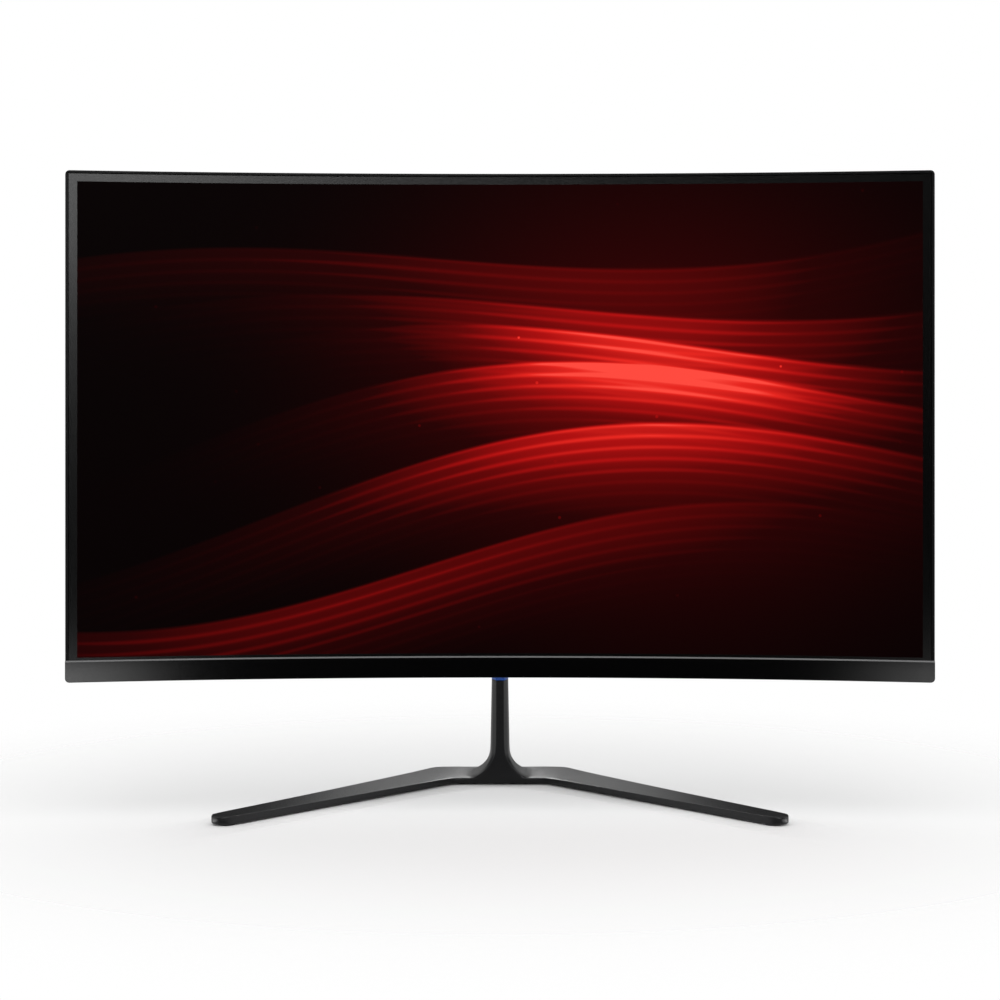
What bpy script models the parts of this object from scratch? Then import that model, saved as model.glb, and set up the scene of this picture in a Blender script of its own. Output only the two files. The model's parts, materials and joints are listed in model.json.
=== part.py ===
"""A curved 27-inch desktop monitor on a V-shaped stand.

Every piece is a separate named object, in metres, with +Z up and the screen facing -Y. The origin is on
the desk, below the middle of the whole object. Pieces of the screen are modelled flat, cut along shared
bend lines and pushed back onto the curve of the screen, so that they stay nested.
"""

import math

import bmesh
import bpy
from mathutils import Matrix, Vector

# Fits
CLEARANCE = 0.0003
HOLE_CLEARANCE = 0.0004
MERGE = 0.000002

# Head outline
SCREEN_RADIUS = 1.5
HEAD_WIDTH = 0.612
HEAD_HEIGHT = 0.3608
HEAD_TOP = 0.457
HEAD_CORNER = 0.003
LEAST_CORNER = 0.0005
HEAD_FORWARD = 0.120
BEND_STRIPS = 20

# Front frame and chin
RIM_WIDTH = 0.002
FRAME_DEPTH = 0.009
LEDGE_WIDTH = 0.0045
LEDGE_THICKNESS = 0.0012
CHIN_HEIGHT = 0.0154
CHIN_PROUD = 0.0012
CHIN_FLOOR = 0.0016
CHIN_CHAMFER = 0.001

# Panel and backlight, front to back
PANEL_RECESS = 0.0006
PANEL_THICKNESS = 0.0014
FILM_THICKNESS = 0.0008
GUIDE_THICKNESS = 0.002
REFLECTOR_THICKNESS = 0.0004
CHASSIS_SHEET = 0.0008
CHASSIS_BEAD_HEIGHT = 0.008
CHASSIS_BEAD_RISE = 0.0015
CHASSIS_BEAD_END = 0.030
CHASSIS_BEAD_LOW = 0.090
CHASSIS_BEAD_HIGH = 0.045
LED_COUNT = 18
LED_WIDTH = 0.007
LED_HEIGHT = 0.0008
LED_STRIP = 0.001

# Rear cover
COVER_WALL = 0.0022
COVER_EDGE = 0.013
COVER_DEPTH = 0.024
COVER_SLOPE = 0.030
COVER_ROUND = 0.0015
BULGE_WIDTH = 0.320
BULGE_LIFT = 0.0558
BULGE_MARGIN = 0.0214
BULGE_DEPTH = 0.052
BULGE_DRAFT = 0.010
BULGE_FLOOR_DRAFT = 0.002
BULGE_CORNER = 0.018
BULGE_ROUND = 0.004
BULGE_ROOT = 0.010
VENT_COUNT = 24
VENT_PITCH = 0.009
VENT_WIDTH = 0.003
VENT_LENGTH = 0.016
COVER_SCREW_INSET = 0.016

# Mounting pad on the back
VESA_PITCH = 0.100
PAD_MARGIN = 0.008
PAD_GAP = 0.0026
PAD_CORNER = 0.006
VESA_BORE = 0.0026
PAD_RISE = 0.0012
PLATE_SHEET = 0.002
PLATE_MARGIN = 0.014
INSERT_RADIUS = 0.0042
INSERT_FLANGE = 0.006
INSERT_FLANGE_THICKNESS = 0.0015
INSERT_THREAD = 0.00165

# Tilt hinge
HINGE_LIFT = 0.040
HINGE_STANDOFF = 0.017
EYE_RADIUS = 0.010
PIN_RADIUS = 0.004
PIN_HEAD_RADIUS = 0.007
PIN_HEAD = 0.003
PIN_CHAMFER = 0.0008
WASHER_RADIUS = 0.009
WASHER_THICKNESS = 0.0015
EAR_THICKNESS = 0.0025
EAR_CORNER = 0.008
EAR_ROOT = 0.014
SPRING_WASHER_HEIGHT = 0.002
SPRING_WASHER_SHEET = 0.0012
NUT_RADIUS = 0.0075
NUT_HEIGHT = 0.004
BRACKET_WIDTH = 0.052
BRACKET_HEIGHT = 0.042
BRACKET_SHEET = 0.0025
BRACKET_SCREW_X = 0.036
BRACKET_SCREW_Z = 0.030
HOOD_WALL = 0.002
HOOD_GAP = 0.001
HOOD_DROP = 0.024
HOOD_REACH = 0.017
HOOD_ROUND = 0.010

# Neck
NECK_FACE = 0.0062
NECK_WIDTH_BASE = 0.0142
NECK_WIDTH_TOP = 0.0115
NECK_DEPTH_BASE = 0.042
NECK_SETBACK = 0.0006
NECK_SHOULDER = 0.009
NECK_BACK_CHAMFER = 0.0015
NECK_EASE = 0.15
FLARE_HEIGHT = 0.020
FLARE_FACE = 0.016
FLARE_BODY = 0.020
COLLAR_DROP = 0.0140
COLLAR_HEIGHT = 0.008
TONGUE_THICKNESS = 0.006
TONGUE_DEPTH = 0.012
TONGUE_BELOW = 0.0338
TONGUE_ABOVE = 0.0322
TONGUE_SHIFT = 0.0015
NECK_SCREW_BELOW = 0.0178
NECK_SCREW_ABOVE = 0.0182
NECK_SCREW_WALL = 0.002

# V base
BASE_THICKNESS = 0.0055
BASE_LIFT = 0.001
BASE_EDGE = 0.0008
HUB_HALF_WIDTH = 0.0365
HUB_DEPTH = 0.052
HUB_FRONT_RADIUS = 0.012
HUB_REAR_RADIUS = 0.025
LEG_SPLAY = math.radians(39.5)
LEG_LENGTH = 0.2304
LEG_ROOT_WIDTH = 0.041
LEG_TIP_RADIUS = 0.0094
LEG_TIP_FLAT = 0.0004
FOOT_PAD_RADIUS = 0.006
FOOT_PAD_SEAT = 0.0012
FOOT_PAD_CHAMFER = 0.0005

# Screws
SCREW_HEAD = 0.0034
SCREW_HEAD_HEIGHT = 0.0022
SCREW_CHAMFER = 0.0004
SCREW_SHANK = 0.0016
SCREW_SOCKET = 0.0013
SCREW_SOCKET_DEPTH = 0.0011

# Electronics
SHIELD_SHEET = 0.0008
SHIELD_INSET = 0.009
SHIELD_GAP = 0.0027
SHIELD_NOTCH = 0.020
SHIELD_NOTCH_MARGIN = 0.007
BOARD_THICKNESS = 0.0016
BOARD_MARGIN = 0.010
BOARD_LENGTH = 0.192
BOARD_HEIGHT = 0.100
STANDOFF_RADIUS = 0.003
STANDOFF_INSET = 0.010
STANDOFF_LIFT = 0.030
CHIP_HEIGHT = 0.002
CHIPS = ((0.070, 0.055, 0.030), (0.120, 0.060, 0.018), (0.160, 0.035, 0.014), (0.030, 0.072, 0.016))
PORT_PITCH = 0.021
PORT_LENGTH = 0.016
PORT_MOUTH = 0.0112
PORT_INSET = 0.006
PORT_SHELL = 0.0006
PORT_RECESS = 0.0008
PORT_TONGUE = 0.0012
PORT_TONGUE_INSET = 0.0018
DC_JACK_WIDTH = 0.009
DC_JACK_DEPTH = 0.0078
DC_PIN_RADIUS = 0.0009
HDMI_WIDTH = 0.015
HDMI_DEPTH = 0.0058
DISPLAY_WIDTH = 0.0162
DISPLAY_DEPTH = 0.006
AUDIO_WIDTH = 0.0075
AUDIO_DEPTH = 0.0062
JACK_WALL = 0.0012
DRIVER_WIDTH = 0.300
DRIVER_HEIGHT = 0.018
DRIVER_LIFT = 0.014
DRIVER_SOCKET = 0.0054
RIBBON_WIDTH = 0.022
RIBBON_X = 0.036
RIBBON_THICKNESS = 0.0005

# Controls on the back, near the right-hand edge as seen from the front
CONTROL_INSET = 0.056
CONTROL_LIFT = 0.046
BUTTON_OFFSET = -0.024
BUTTON_RADIUS = 0.0049
BUTTON_FLANGE = 0.0062
BUTTON_PROUD = 0.0008
BUTTON_CHAMFER = 0.0005
BUTTON_TRAVEL = 0.0006
BUTTON_FLANGE_GAP = 0.0008
STICK_HOLE = 0.0085
STICK_CAP_RADIUS = 0.0063
STICK_CAP_PROUD = 0.004
STICK_CAP_DISH = 0.0008
STICK_CAP_EDGE = 0.0006
STICK_CAP_TRAVEL = 0.0004
STICK_STEM = 0.0016
STICK_STEM_PROUD = 0.0013
STICK_PIVOT_LIFT = 0.0044
STICK_PIN = 0.0007
STICK_CROSS_PIN = 0.00056
STICK_BODY = 0.013
STICK_BODY_WALL = 0.0013
YOKE_LENGTH = 0.009
YOKE_WIDTH = 0.0064
YOKE_BAR = 0.001
YOKE_END = 0.002
YOKE_THICKNESS = 0.0026
CONTROL_BOARD_GAP = 0.0019
CONTROL_BOARD_SHEET = 0.0012
CONTROL_BOARD_LENGTH = 0.050
CONTROL_BOARD_WIDTH = 0.018
CONTROL_POST_SPREAD = 0.0122
CONTROL_POST_RADIUS = 0.0021
SWITCH_SIZE = 0.006
SWITCH_HEIGHT = 0.0023
SWITCH_NUB = 0.0015
SWITCH_NUB_PROUD = 0.0008
CABLE_RADIUS = 0.001
# Points along the control cable, as x, depth behind the front rim and height above the head's bottom
CABLE_TO_SHIELD = ((0.190, 0.0025, 0.0538), (0.160, 0.0080, 0.0698))
CABLE_TO_BOARD = ((0.110, 0.022, 0.0838),)
CABLE_GAP_DEPTH = 0.013
CABLE_END = 0.0898

# Places worked out from the sizes above
HEAD_BOTTOM = HEAD_TOP - HEAD_HEIGHT
LEG_ALONG = Vector((math.sin(LEG_SPLAY), -math.cos(LEG_SPLAY)))
LEG_ACROSS = Vector((math.cos(LEG_SPLAY), math.sin(LEG_SPLAY)))
LEG_REACH = LEG_TIP_RADIUS - (LEG_ALONG * LEG_LENGTH + LEG_ACROSS * LEG_TIP_RADIUS).y
HUB_FRONT = (LEG_REACH - HUB_DEPTH) / 2
FRONT = HUB_FRONT - HEAD_FORWARD
HUB_TOP = BASE_LIFT + BASE_THICKNESS
BULGE_BOTTOM = HEAD_BOTTOM + BULGE_LIFT
HINGE_Z = BULGE_BOTTOM + HINGE_LIFT
HINGE_Y = FRONT + BULGE_DEPTH + HINGE_STANDOFF
HOOD_WIDTH = BRACKET_WIDTH + 2 * (HOOD_WALL + HOOD_GAP)
HOOD_RISE = BRACKET_HEIGHT / 2 + HOOD_WALL + HOOD_GAP
PAD_SIZE = VESA_PITCH + 2 * PAD_MARGIN
PAD_BOTTOM = HINGE_Z + HOOD_RISE + PAD_GAP
PAD_TOP = PAD_BOTTOM + PAD_SIZE
VESA_CENTRE = (PAD_BOTTOM + PAD_TOP) / 2
BULGE_TOP = PAD_TOP + BULGE_MARGIN
PANEL_BACK = PANEL_RECESS + PANEL_THICKNESS
LEDGE_FRONT = PANEL_BACK + CLEARANCE
LEDGE_BACK = LEDGE_FRONT + LEDGE_THICKNESS
FILM_FRONT = LEDGE_BACK + CLEARANCE
GUIDE_FRONT = FILM_FRONT + FILM_THICKNESS + CLEARANCE
REFLECTOR_FRONT = GUIDE_FRONT + GUIDE_THICKNESS + CLEARANCE
CHASSIS_FLOOR = REFLECTOR_FRONT + REFLECTOR_THICKNESS + CLEARANCE
CHASSIS_BACK = CHASSIS_FLOOR + CHASSIS_SHEET
FRAME_BOTTOM = HEAD_BOTTOM + CHIN_FLOOR + CLEARANCE
CHASSIS_SIDE = HEAD_WIDTH / 2 - RIM_WIDTH - CLEARANCE
CHASSIS_BOTTOM = FRAME_BOTTOM + RIM_WIDTH + CLEARANCE
CHASSIS_TOP = HEAD_TOP - RIM_WIDTH - CLEARANCE
BULGE_BACK = FRONT + BULGE_DEPTH
BULGE_INNER = BULGE_BACK - COVER_WALL
PLATE_BACK = BULGE_INNER - CLEARANCE
PLATE_FRONT = PLATE_BACK - PLATE_SHEET
BRACKET_FRONT = BULGE_BACK + CLEARANCE
BRACKET_BACK = BRACKET_FRONT + BRACKET_SHEET
SHIELD_SIDE = BULGE_WIDTH / 2 - BULGE_DRAFT - SHIELD_INSET
SHIELD_BOTTOM = BULGE_BOTTOM + SHIELD_INSET
SHIELD_TOP = BULGE_TOP - BULGE_DRAFT - SHIELD_INSET
SHIELD_BACK = PLATE_FRONT - INSERT_FLANGE_THICKNESS - CLEARANCE - SHIELD_GAP
SHIELD_WALL = SHIELD_BACK - SHIELD_SHEET
STANDOFF = max(DC_JACK_DEPTH, HDMI_DEPTH, DISPLAY_DEPTH, AUDIO_DEPTH) + 2 * CLEARANCE
BOARD_BACK = SHIELD_WALL - STANDOFF
BOARD_LEFT = BOARD_MARGIN + SHIELD_SHEET - SHIELD_SIDE
BOARD_RIGHT = BOARD_LEFT + BOARD_LENGTH
BOARD_BOTTOM = SHIELD_BOTTOM + SHIELD_SHEET + CLEARANCE
BOARD_TOP = BOARD_BOTTOM + BOARD_HEIGHT
COVER_SCREW_SEAT = SHIELD_BACK + CLEARANCE + COVER_WALL
COLLAR_Z = HEAD_BOTTOM - COLLAR_DROP
COLLAR_TOP = COLLAR_Z + COLLAR_HEIGHT
TONGUE_BOTTOM = COLLAR_Z - TONGUE_BELOW
TONGUE_TOP = COLLAR_TOP + TONGUE_ABOVE
NECK_SCREW_LOW = COLLAR_Z - NECK_SCREW_BELOW
NECK_SCREW_HIGH = COLLAR_TOP + NECK_SCREW_ABOVE
WASHER_X = NECK_WIDTH_TOP / 2 + CLEARANCE
EAR_X = WASHER_X + WASHER_THICKNESS + CLEARANCE
EAR_OUT = EAR_X + EAR_THICKNESS
EYE_BORE = PIN_RADIUS + HOLE_CLEARANCE
SCREW_HOLE = SCREW_SHANK + HOLE_CLEARANCE
SCREW_HEAD_HOLE = SCREW_HEAD + HOLE_CLEARANCE
CONTROL_X = HEAD_WIDTH / 2 - CONTROL_INSET
CONTROL_BOARD_DEPTH = COVER_DEPTH - CHASSIS_BACK - CONTROL_BOARD_SHEET - CONTROL_BOARD_GAP
STICK_PIVOT = CONTROL_BOARD_DEPTH - STICK_PIVOT_LIFT


for leftover in list(bpy.data.objects):
    bpy.data.objects.remove(leftover, do_unlink=True)
PARTS = bpy.data.collections.new("curved_monitor")
CUTTERS = bpy.data.collections.new("cutters")
for group in (PARTS, CUTTERS):
    bpy.context.scene.collection.children.link(group)


# Modelling helpers


def solid(name, bm):
    """Make a working object from a bmesh, with its faces pointing out."""
    bmesh.ops.recalc_face_normals(bm, faces=bm.faces)
    mesh = bpy.data.meshes.new(name)
    bm.to_mesh(mesh)
    bm.free()
    item = bpy.data.objects.new(name, mesh)
    item.hide_render = True
    item.display_type = "WIRE"
    CUTTERS.objects.link(item)
    return item


def settle(item):
    """Apply an object's modifiers and merge the points that they leave on top of each other."""
    graph = bpy.context.evaluated_depsgraph_get()
    old = item.data
    mesh = bpy.data.meshes.new_from_object(item.evaluated_get(graph))
    item.modifiers.clear()
    item.data = mesh
    bpy.data.meshes.remove(old)
    bm = bmesh.new()
    bm.from_mesh(mesh)
    bmesh.ops.remove_doubles(bm, verts=bm.verts, dist=MERGE)
    bmesh.ops.dissolve_degenerate(bm, edges=bm.edges, dist=MERGE)
    bm.to_mesh(mesh)
    bm.free()
    return item


def combine(item, operation, tools):
    """Join or cut an object with working objects, which are used up."""
    for tool in tools:
        step = item.modifiers.new(tool.name, "BOOLEAN")
        step.operation = operation
        step.object = tool
    settle(item)
    for tool in tools:
        bpy.data.objects.remove(tool, do_unlink=True)
    return item


def cut(item, *tools):
    """Cut the tools out of an object."""
    return combine(item, "DIFFERENCE", tools)


def join(item, *tools):
    """Join the tools to an object."""
    return combine(item, "UNION", tools)


def slab(x, y, z, corner=0.0, steps=3):
    """A box between pairs of limits, with its corners rounded in the plane of the screen."""
    bm = bmesh.new()
    bmesh.ops.create_cube(bm, size=1.0)
    bmesh.ops.scale(bm, vec=(x[1] - x[0], y[1] - y[0], z[1] - z[0]), verts=bm.verts)
    bmesh.ops.translate(bm, vec=(sum(x) / 2, sum(y) / 2, sum(z) / 2), verts=bm.verts)
    if corner:
        through = [e for e in bm.edges if abs(e.verts[0].co.y - e.verts[1].co.y) > (y[1] - y[0]) / 2]
        bmesh.ops.bevel(bm, geom=through, offset=corner, segments=steps, affect="EDGES", profile=0.5)
    return solid("slab", bm)


def centred(width):
    """Limits of a size that is centred on the middle plane."""
    return (-width / 2, width / 2)


def facing(along):
    """The turn that takes +Z to a direction."""
    return Vector((0, 0, 1)).rotation_difference(Vector(along)).to_matrix().to_4x4()


def rod(radius, start, end, sides=16):
    """A round bar between two points."""
    start, end = Vector(start), Vector(end)
    place = Matrix.Translation((start + end) / 2) @ facing(end - start)
    bm = bmesh.new()
    bmesh.ops.create_cone(bm, cap_ends=True, segments=sides, radius1=radius, radius2=radius,
                          depth=(end - start).length, matrix=place)
    return solid("rod", bm)


def turned(profile, seat, along, sides=12, ring=False):
    """A turned piece from (radius, height) pairs, top to bottom, standing on its seat."""
    mesh = bpy.data.meshes.new("turned")
    last = len(profile) - 1
    edges = [(k, k + 1) for k in range(last)] + ([(last, 0)] if ring else [])
    mesh.from_pydata([(radius, 0.0, height) for radius, height in profile], edges, [])
    item = bpy.data.objects.new("turned", mesh)
    CUTTERS.objects.link(item)
    spin = item.modifiers.new("spin", "SCREW")
    spin.steps = sides
    spin.render_steps = sides
    spin.use_merge_vertices = True
    spin.merge_threshold = MERGE
    settle(item)
    bm = bmesh.new()
    bm.from_mesh(item.data)
    bpy.data.objects.remove(item, do_unlink=True)
    bmesh.ops.transform(bm, matrix=Matrix.Translation(seat) @ facing(along), verts=bm.verts)
    return solid("turned", bm)


def plate(outline, thickness, place=Matrix(), edge=0.0):
    """A flat outline with a thickness and, if asked for, rounded edges, laid flat and then placed."""
    curve = bpy.data.curves.new("outline", "CURVE")
    curve.dimensions = "2D"
    curve.fill_mode = "BOTH"
    curve.extrude = thickness / 2 - edge
    curve.bevel_depth = edge
    curve.bevel_resolution = 1
    curve.offset = -edge
    spline = curve.splines.new("POLY")
    spline.points.add(len(outline) - 1)
    for point, (x, y) in zip(spline.points, outline):
        point.co = (x, y, 0.0, 1.0)
    spline.use_cyclic_u = True
    drawn = bpy.data.objects.new("outline", curve)
    CUTTERS.objects.link(drawn)
    graph = bpy.context.evaluated_depsgraph_get()
    mesh = bpy.data.meshes.new_from_object(drawn.evaluated_get(graph))
    bpy.data.objects.remove(drawn, do_unlink=True)
    bm = bmesh.new()
    bm.from_mesh(mesh)
    bpy.data.meshes.remove(mesh)
    bmesh.ops.remove_doubles(bm, verts=bm.verts, dist=MERGE)
    bmesh.ops.transform(bm, matrix=place, verts=bm.verts)
    return solid("plate", bm)


def side_view(x):
    """Lays a plate's outline in the side view, as (y, z), with its middle at the given x."""
    return Matrix(((0, 0, 1, x), (1, 0, 0, 0), (0, 1, 0, 0), (0, 0, 0, 1)))


def rounded(corners, steps=5):
    """An outline through corners given as (x, y, radius), with an arc at each."""
    outline = []
    for k, (x, y, radius) in enumerate(corners):
        here = Vector((x, y))
        before = (Vector(corners[k - 1][:2]) - here).normalized()
        after = (Vector(corners[(k + 1) % len(corners)][:2]) - here).normalized()
        if not radius:
            outline.append(tuple(here))
            continue
        half = before.angle(after) / 2
        centre = here + (before + after).normalized() * (radius / math.sin(half))
        start = here + before * (radius / math.tan(half)) - centre
        sweep = start.angle_signed(here + after * (radius / math.tan(half)) - centre)
        for step in range(steps + 1):
            arm = start.copy()
            arm.rotate(Matrix.Rotation(-sweep * step / steps, 2))
            outline.append(tuple(centre + arm))
    return outline


def loft(rings):
    """A solid through rings with equal numbers of points, closed at both ends."""
    bm = bmesh.new()
    rows = [[bm.verts.new(point) for point in ring] for ring in rings]
    for low, high in zip(rows, rows[1:]):
        for k, vert in enumerate(low):
            after = (k + 1) % len(low)
            bm.faces.new((vert, low[after], high[after], high[k]))
    bm.faces.new(rows[0])
    bm.faces.new(rows[-1])
    return solid("loft", bm)


def sag(x):
    """How far the screen's curve brings a point forward, in straight strips between the bend lines."""
    step = HEAD_WIDTH / BEND_STRIPS
    strip = min(max(math.floor(x / step + BEND_STRIPS / 2), 0), BEND_STRIPS - 1)
    left = (strip - BEND_STRIPS / 2) * step
    rise = [math.sqrt(SCREEN_RADIUS ** 2 - edge ** 2) - SCREEN_RADIUS for edge in (left, left + step)]
    return rise[0] + (rise[1] - rise[0]) * (x - left) / step


def bend(item):
    """Cut an object along the bend lines and move it onto the curve of the screen."""
    bm = bmesh.new()
    bm.from_mesh(item.data)
    for k in range(1, BEND_STRIPS):
        line = HEAD_WIDTH * (k / BEND_STRIPS - 0.5)
        everything = bm.verts[:] + bm.edges[:] + bm.faces[:]
        bmesh.ops.bisect_plane(bm, geom=everything, dist=MERGE, plane_co=(line, 0, 0), plane_no=(1, 0, 0))
    for vert in bm.verts:
        vert.co.y += sag(vert.co.x)
    bm.to_mesh(item.data)
    bm.free()
    return item


def moved(item, place):
    """Place a working object that was modelled in a local frame."""
    item.data.transform(place)
    return item


def layer(front, thickness):
    """Limits in depth of a layer that starts behind the front rim by a given amount."""
    return (FRONT + front, FRONT + front + thickness)


MATERIALS = {}


def material(name, colour, roughness, metallic=0.0):
    """A Principled material, made once and shared by name."""
    if name not in MATERIALS:
        made = bpy.data.materials.new(name)
        made.use_nodes = True
        shader = made.node_tree.nodes["Principled BSDF"]
        shader.inputs["Base Color"].default_value = (*colour, 1.0)
        shader.inputs["Roughness"].default_value = roughness
        shader.inputs["Metallic"].default_value = metallic
        MATERIALS[name] = made
    return MATERIALS[name]


def finish(item, name, finish_material, parent=None):
    """Turn a working object into a named part with its material and, if it moves, its parent."""
    item.name = name
    item.data.name = name
    item.data.materials.clear()
    item.data.materials.append(finish_material)
    item.data.shade_smooth()
    item.data.set_sharp_from_angle(angle=math.radians(30))
    item.hide_render = False
    item.display_type = "TEXTURED"
    CUTTERS.objects.unlink(item)
    PARTS.objects.link(item)
    if parent:
        item.parent = parent
        item.matrix_parent_inverse = parent.matrix_world.inverted()
    return item


def axis_empty(name, location, turn=0.0, parent=None):
    """An empty on a joint's axis, which carries what moves with that joint."""
    empty = bpy.data.objects.new(name, None)
    empty.empty_display_size = EYE_RADIUS
    empty.matrix_world = Matrix.Translation(location) @ Matrix.Rotation(turn, 4, "Z")
    PARTS.objects.link(empty)
    if parent:
        empty.parent = parent
        empty.matrix_parent_inverse = parent.matrix_world.inverted()
    bpy.context.view_layer.update()
    return empty


MOULDED_BLACK = material("moulded_black", (0.012, 0.012, 0.013), 0.5)
GLOSS_BLACK = material("gloss_black", (0.006, 0.006, 0.007), 0.15)
STAND_BLACK = material("stand_black", (0.018, 0.018, 0.02), 0.4)
COLLAR_BLUE = material("collar_blue", (0.011, 0.065, 0.305), 0.4)
PANEL_GLASS = material("panel_glass", (0.02, 0.004, 0.004), 0.3)
FILM_WHITE = material("film_white", (0.8, 0.8, 0.78), 0.5)
GUIDE_CLEAR = material("guide_clear", (0.75, 0.8, 0.8), 0.1)
SHEET_STEEL = material("sheet_steel", (0.5, 0.5, 0.5), 0.35, 1.0)
DARK_STEEL = material("dark_steel", (0.06, 0.06, 0.065), 0.4, 1.0)
BOARD_GREEN = material("board_green", (0.01, 0.09, 0.04), 0.5)
SWITCH_BLACK = material("switch_black", (0.02, 0.02, 0.02), 0.5)
RUBBER = material("rubber", (0.015, 0.015, 0.015), 0.85)
CABLE_GREY = material("cable_grey", (0.2, 0.2, 0.2), 0.6)


# Stand


def base_outline():
    """The V base seen from above: hub, two tapered legs and their round tips."""
    inner = Vector((HUB_HALF_WIDTH, HUB_FRONT))
    outer_root = inner + LEG_ACROSS * LEG_ROOT_WIDTH
    tip = inner + LEG_ALONG * (LEG_LENGTH + LEG_TIP_RADIUS)
    outer_tip = tip + LEG_ACROSS * (2 * LEG_TIP_RADIUS)
    taper = outer_tip - LEG_ALONG * LEG_TIP_RADIUS - outer_root
    outer_end = outer_root + taper * ((LEG_LENGTH + LEG_TIP_RADIUS) / LEG_LENGTH)
    rear = outer_root - taper * ((HUB_FRONT + HUB_DEPTH - outer_root.y) / -taper.y)
    tip_round = LEG_TIP_RADIUS - LEG_TIP_FLAT / 2
    half = [
        (inner.x, inner.y, HUB_FRONT_RADIUS),
        (tip.x, tip.y, tip_round),
        (outer_end.x, outer_end.y, tip_round),
        (rear.x, rear.y, HUB_REAR_RADIUS),
    ]
    return rounded(half + [(-x, y, radius) for x, y, radius in reversed(half)])


def climb(z):
    """Share of the way from the hub up to the hinge."""
    return (z - HUB_TOP) / (HINGE_Z - HUB_TOP)


def neck_front(z):
    """Front of the neck: it leaves the hub upright and then leans forward to the hinge."""
    share = max(climb(z), 0.0)
    eased = (math.hypot(share, NECK_EASE) - NECK_EASE) / (math.hypot(1.0, NECK_EASE) - NECK_EASE)
    foot = HUB_FRONT + NECK_SETBACK
    return foot + (HINGE_Y - EYE_RADIUS - foot) * eased


def neck_back(z):
    """Back of the neck, straight from the hub to the back of the hinge eye."""
    foot = HUB_FRONT + NECK_DEPTH_BASE
    return foot + (HINGE_Y + EYE_RADIUS - foot) * max(climb(z), 0.0)


def neck_ring(z, flare=0.0):
    """The neck's section at a height: a narrow front face, shoulders and a chamfered back."""
    share = min(max((z - HUB_TOP) / (COLLAR_Z - HUB_TOP), 0.0), 1.0)
    body = (NECK_WIDTH_BASE + (NECK_WIDTH_TOP - NECK_WIDTH_BASE) * share) / 2 + FLARE_BODY * flare
    face = NECK_FACE / 2 + FLARE_FACE * flare
    front, back = neck_front(z), neck_back(z)
    right = [
        (face, front),
        (body, front + NECK_SHOULDER),
        (body, back - NECK_BACK_CHAMFER),
        (body - NECK_BACK_CHAMFER, back),
    ]
    return [(x, y, z) for x, y in right] + [(-x, y, z) for x, y in reversed(right)]


def neck_length(low, high, pieces):
    """A straight-sided length of the neck."""
    return loft([neck_ring(low + (high - low) * k / pieces) for k in range(pieces + 1)])


def flared_neck():
    """The lower neck, from inside the hub through the flare up to the collar."""
    sunk = BASE_EDGE / 4
    steps = 8
    rings = [neck_ring(HUB_TOP - BASE_THICKNESS / 2, 1.0)]
    for k in range(steps + 1):
        angle = math.pi / 2 * (1 - k / steps)
        height = HUB_TOP - sunk + FLARE_HEIGHT * (1 - math.sin(angle))
        rings.append(neck_ring(height, 1 - math.cos(angle)))
    straight = 5
    low = HUB_TOP - sunk + FLARE_HEIGHT
    high = COLLAR_Z - CLEARANCE
    rings += [neck_ring(low + (high - low) * k / straight) for k in range(1, straight + 1)]
    return loft(rings)


def tongue_point(z):
    """Middle of the steel tongue at a height."""
    return Vector((0.0, (neck_front(z) + neck_back(z)) / 2 + TONGUE_SHIFT, z))


TONGUE_UP = (tongue_point(TONGUE_TOP) - tongue_point(TONGUE_BOTTOM)).normalized()
TONGUE_BACKWARD = Vector((0.0, TONGUE_UP.z, -TONGUE_UP.y))


def tongue_bar(spare):
    """The tongue, or with spare room around it the slot that takes it."""
    low, high = tongue_point(TONGUE_BOTTOM), tongue_point(TONGUE_TOP)
    half_depth = TONGUE_DEPTH / 2 + spare
    half_length = (high - low).length / 2 + spare
    bar = slab(centred(TONGUE_THICKNESS + 2 * spare), (-half_depth, half_depth), (-half_length, half_length))
    return moved(bar, Matrix.Translation((low + high) / 2) @ facing_up(TONGUE_UP))


def facing_up(along):
    """A turn about X that takes +Z to a direction in the side view."""
    return Matrix.Rotation(math.atan2(-along.y, along.z), 4, "X")


def neck_screw_hole(z):
    """Bore and counterbore for a screw that goes into the tongue from behind."""
    seat = tongue_point(z) + TONGUE_BACKWARD * (TONGUE_DEPTH / 2 + CLEARANCE + NECK_SCREW_WALL)
    bore = rod(SCREW_HOLE, seat, tongue_point(z) - TONGUE_BACKWARD * TONGUE_DEPTH / 4, 12)
    head = rod(SCREW_HEAD_HOLE, seat, seat + TONGUE_BACKWARD * NECK_DEPTH_BASE, 12)
    return join(bore, moved(head, Matrix.Translation(TONGUE_BACKWARD * -CLEARANCE)))


def screw(seat, along, length, name, finish_material, parent=None):
    """A screw with a hexagon socket: its head stands on the seat and its shank points the other way."""
    along = Vector(along).normalized()
    profile = [
        (0.0, SCREW_HEAD_HEIGHT),
        (SCREW_HEAD - SCREW_CHAMFER, SCREW_HEAD_HEIGHT),
        (SCREW_HEAD, SCREW_HEAD_HEIGHT - SCREW_CHAMFER),
        (SCREW_HEAD, 0.0),
        (SCREW_SHANK, 0.0),
        (SCREW_SHANK, -length),
        (0.0, -length),
    ]
    body = turned(profile, Vector(seat) + along * CLEARANCE, along)
    top = Vector(seat) + along * (SCREW_HEAD_HEIGHT + CLEARANCE)
    cut(body, rod(SCREW_SOCKET, top - along * SCREW_SOCKET_DEPTH, top + along * SCREW_SOCKET_DEPTH, 6))
    return finish(body, name, finish_material, parent)


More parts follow.
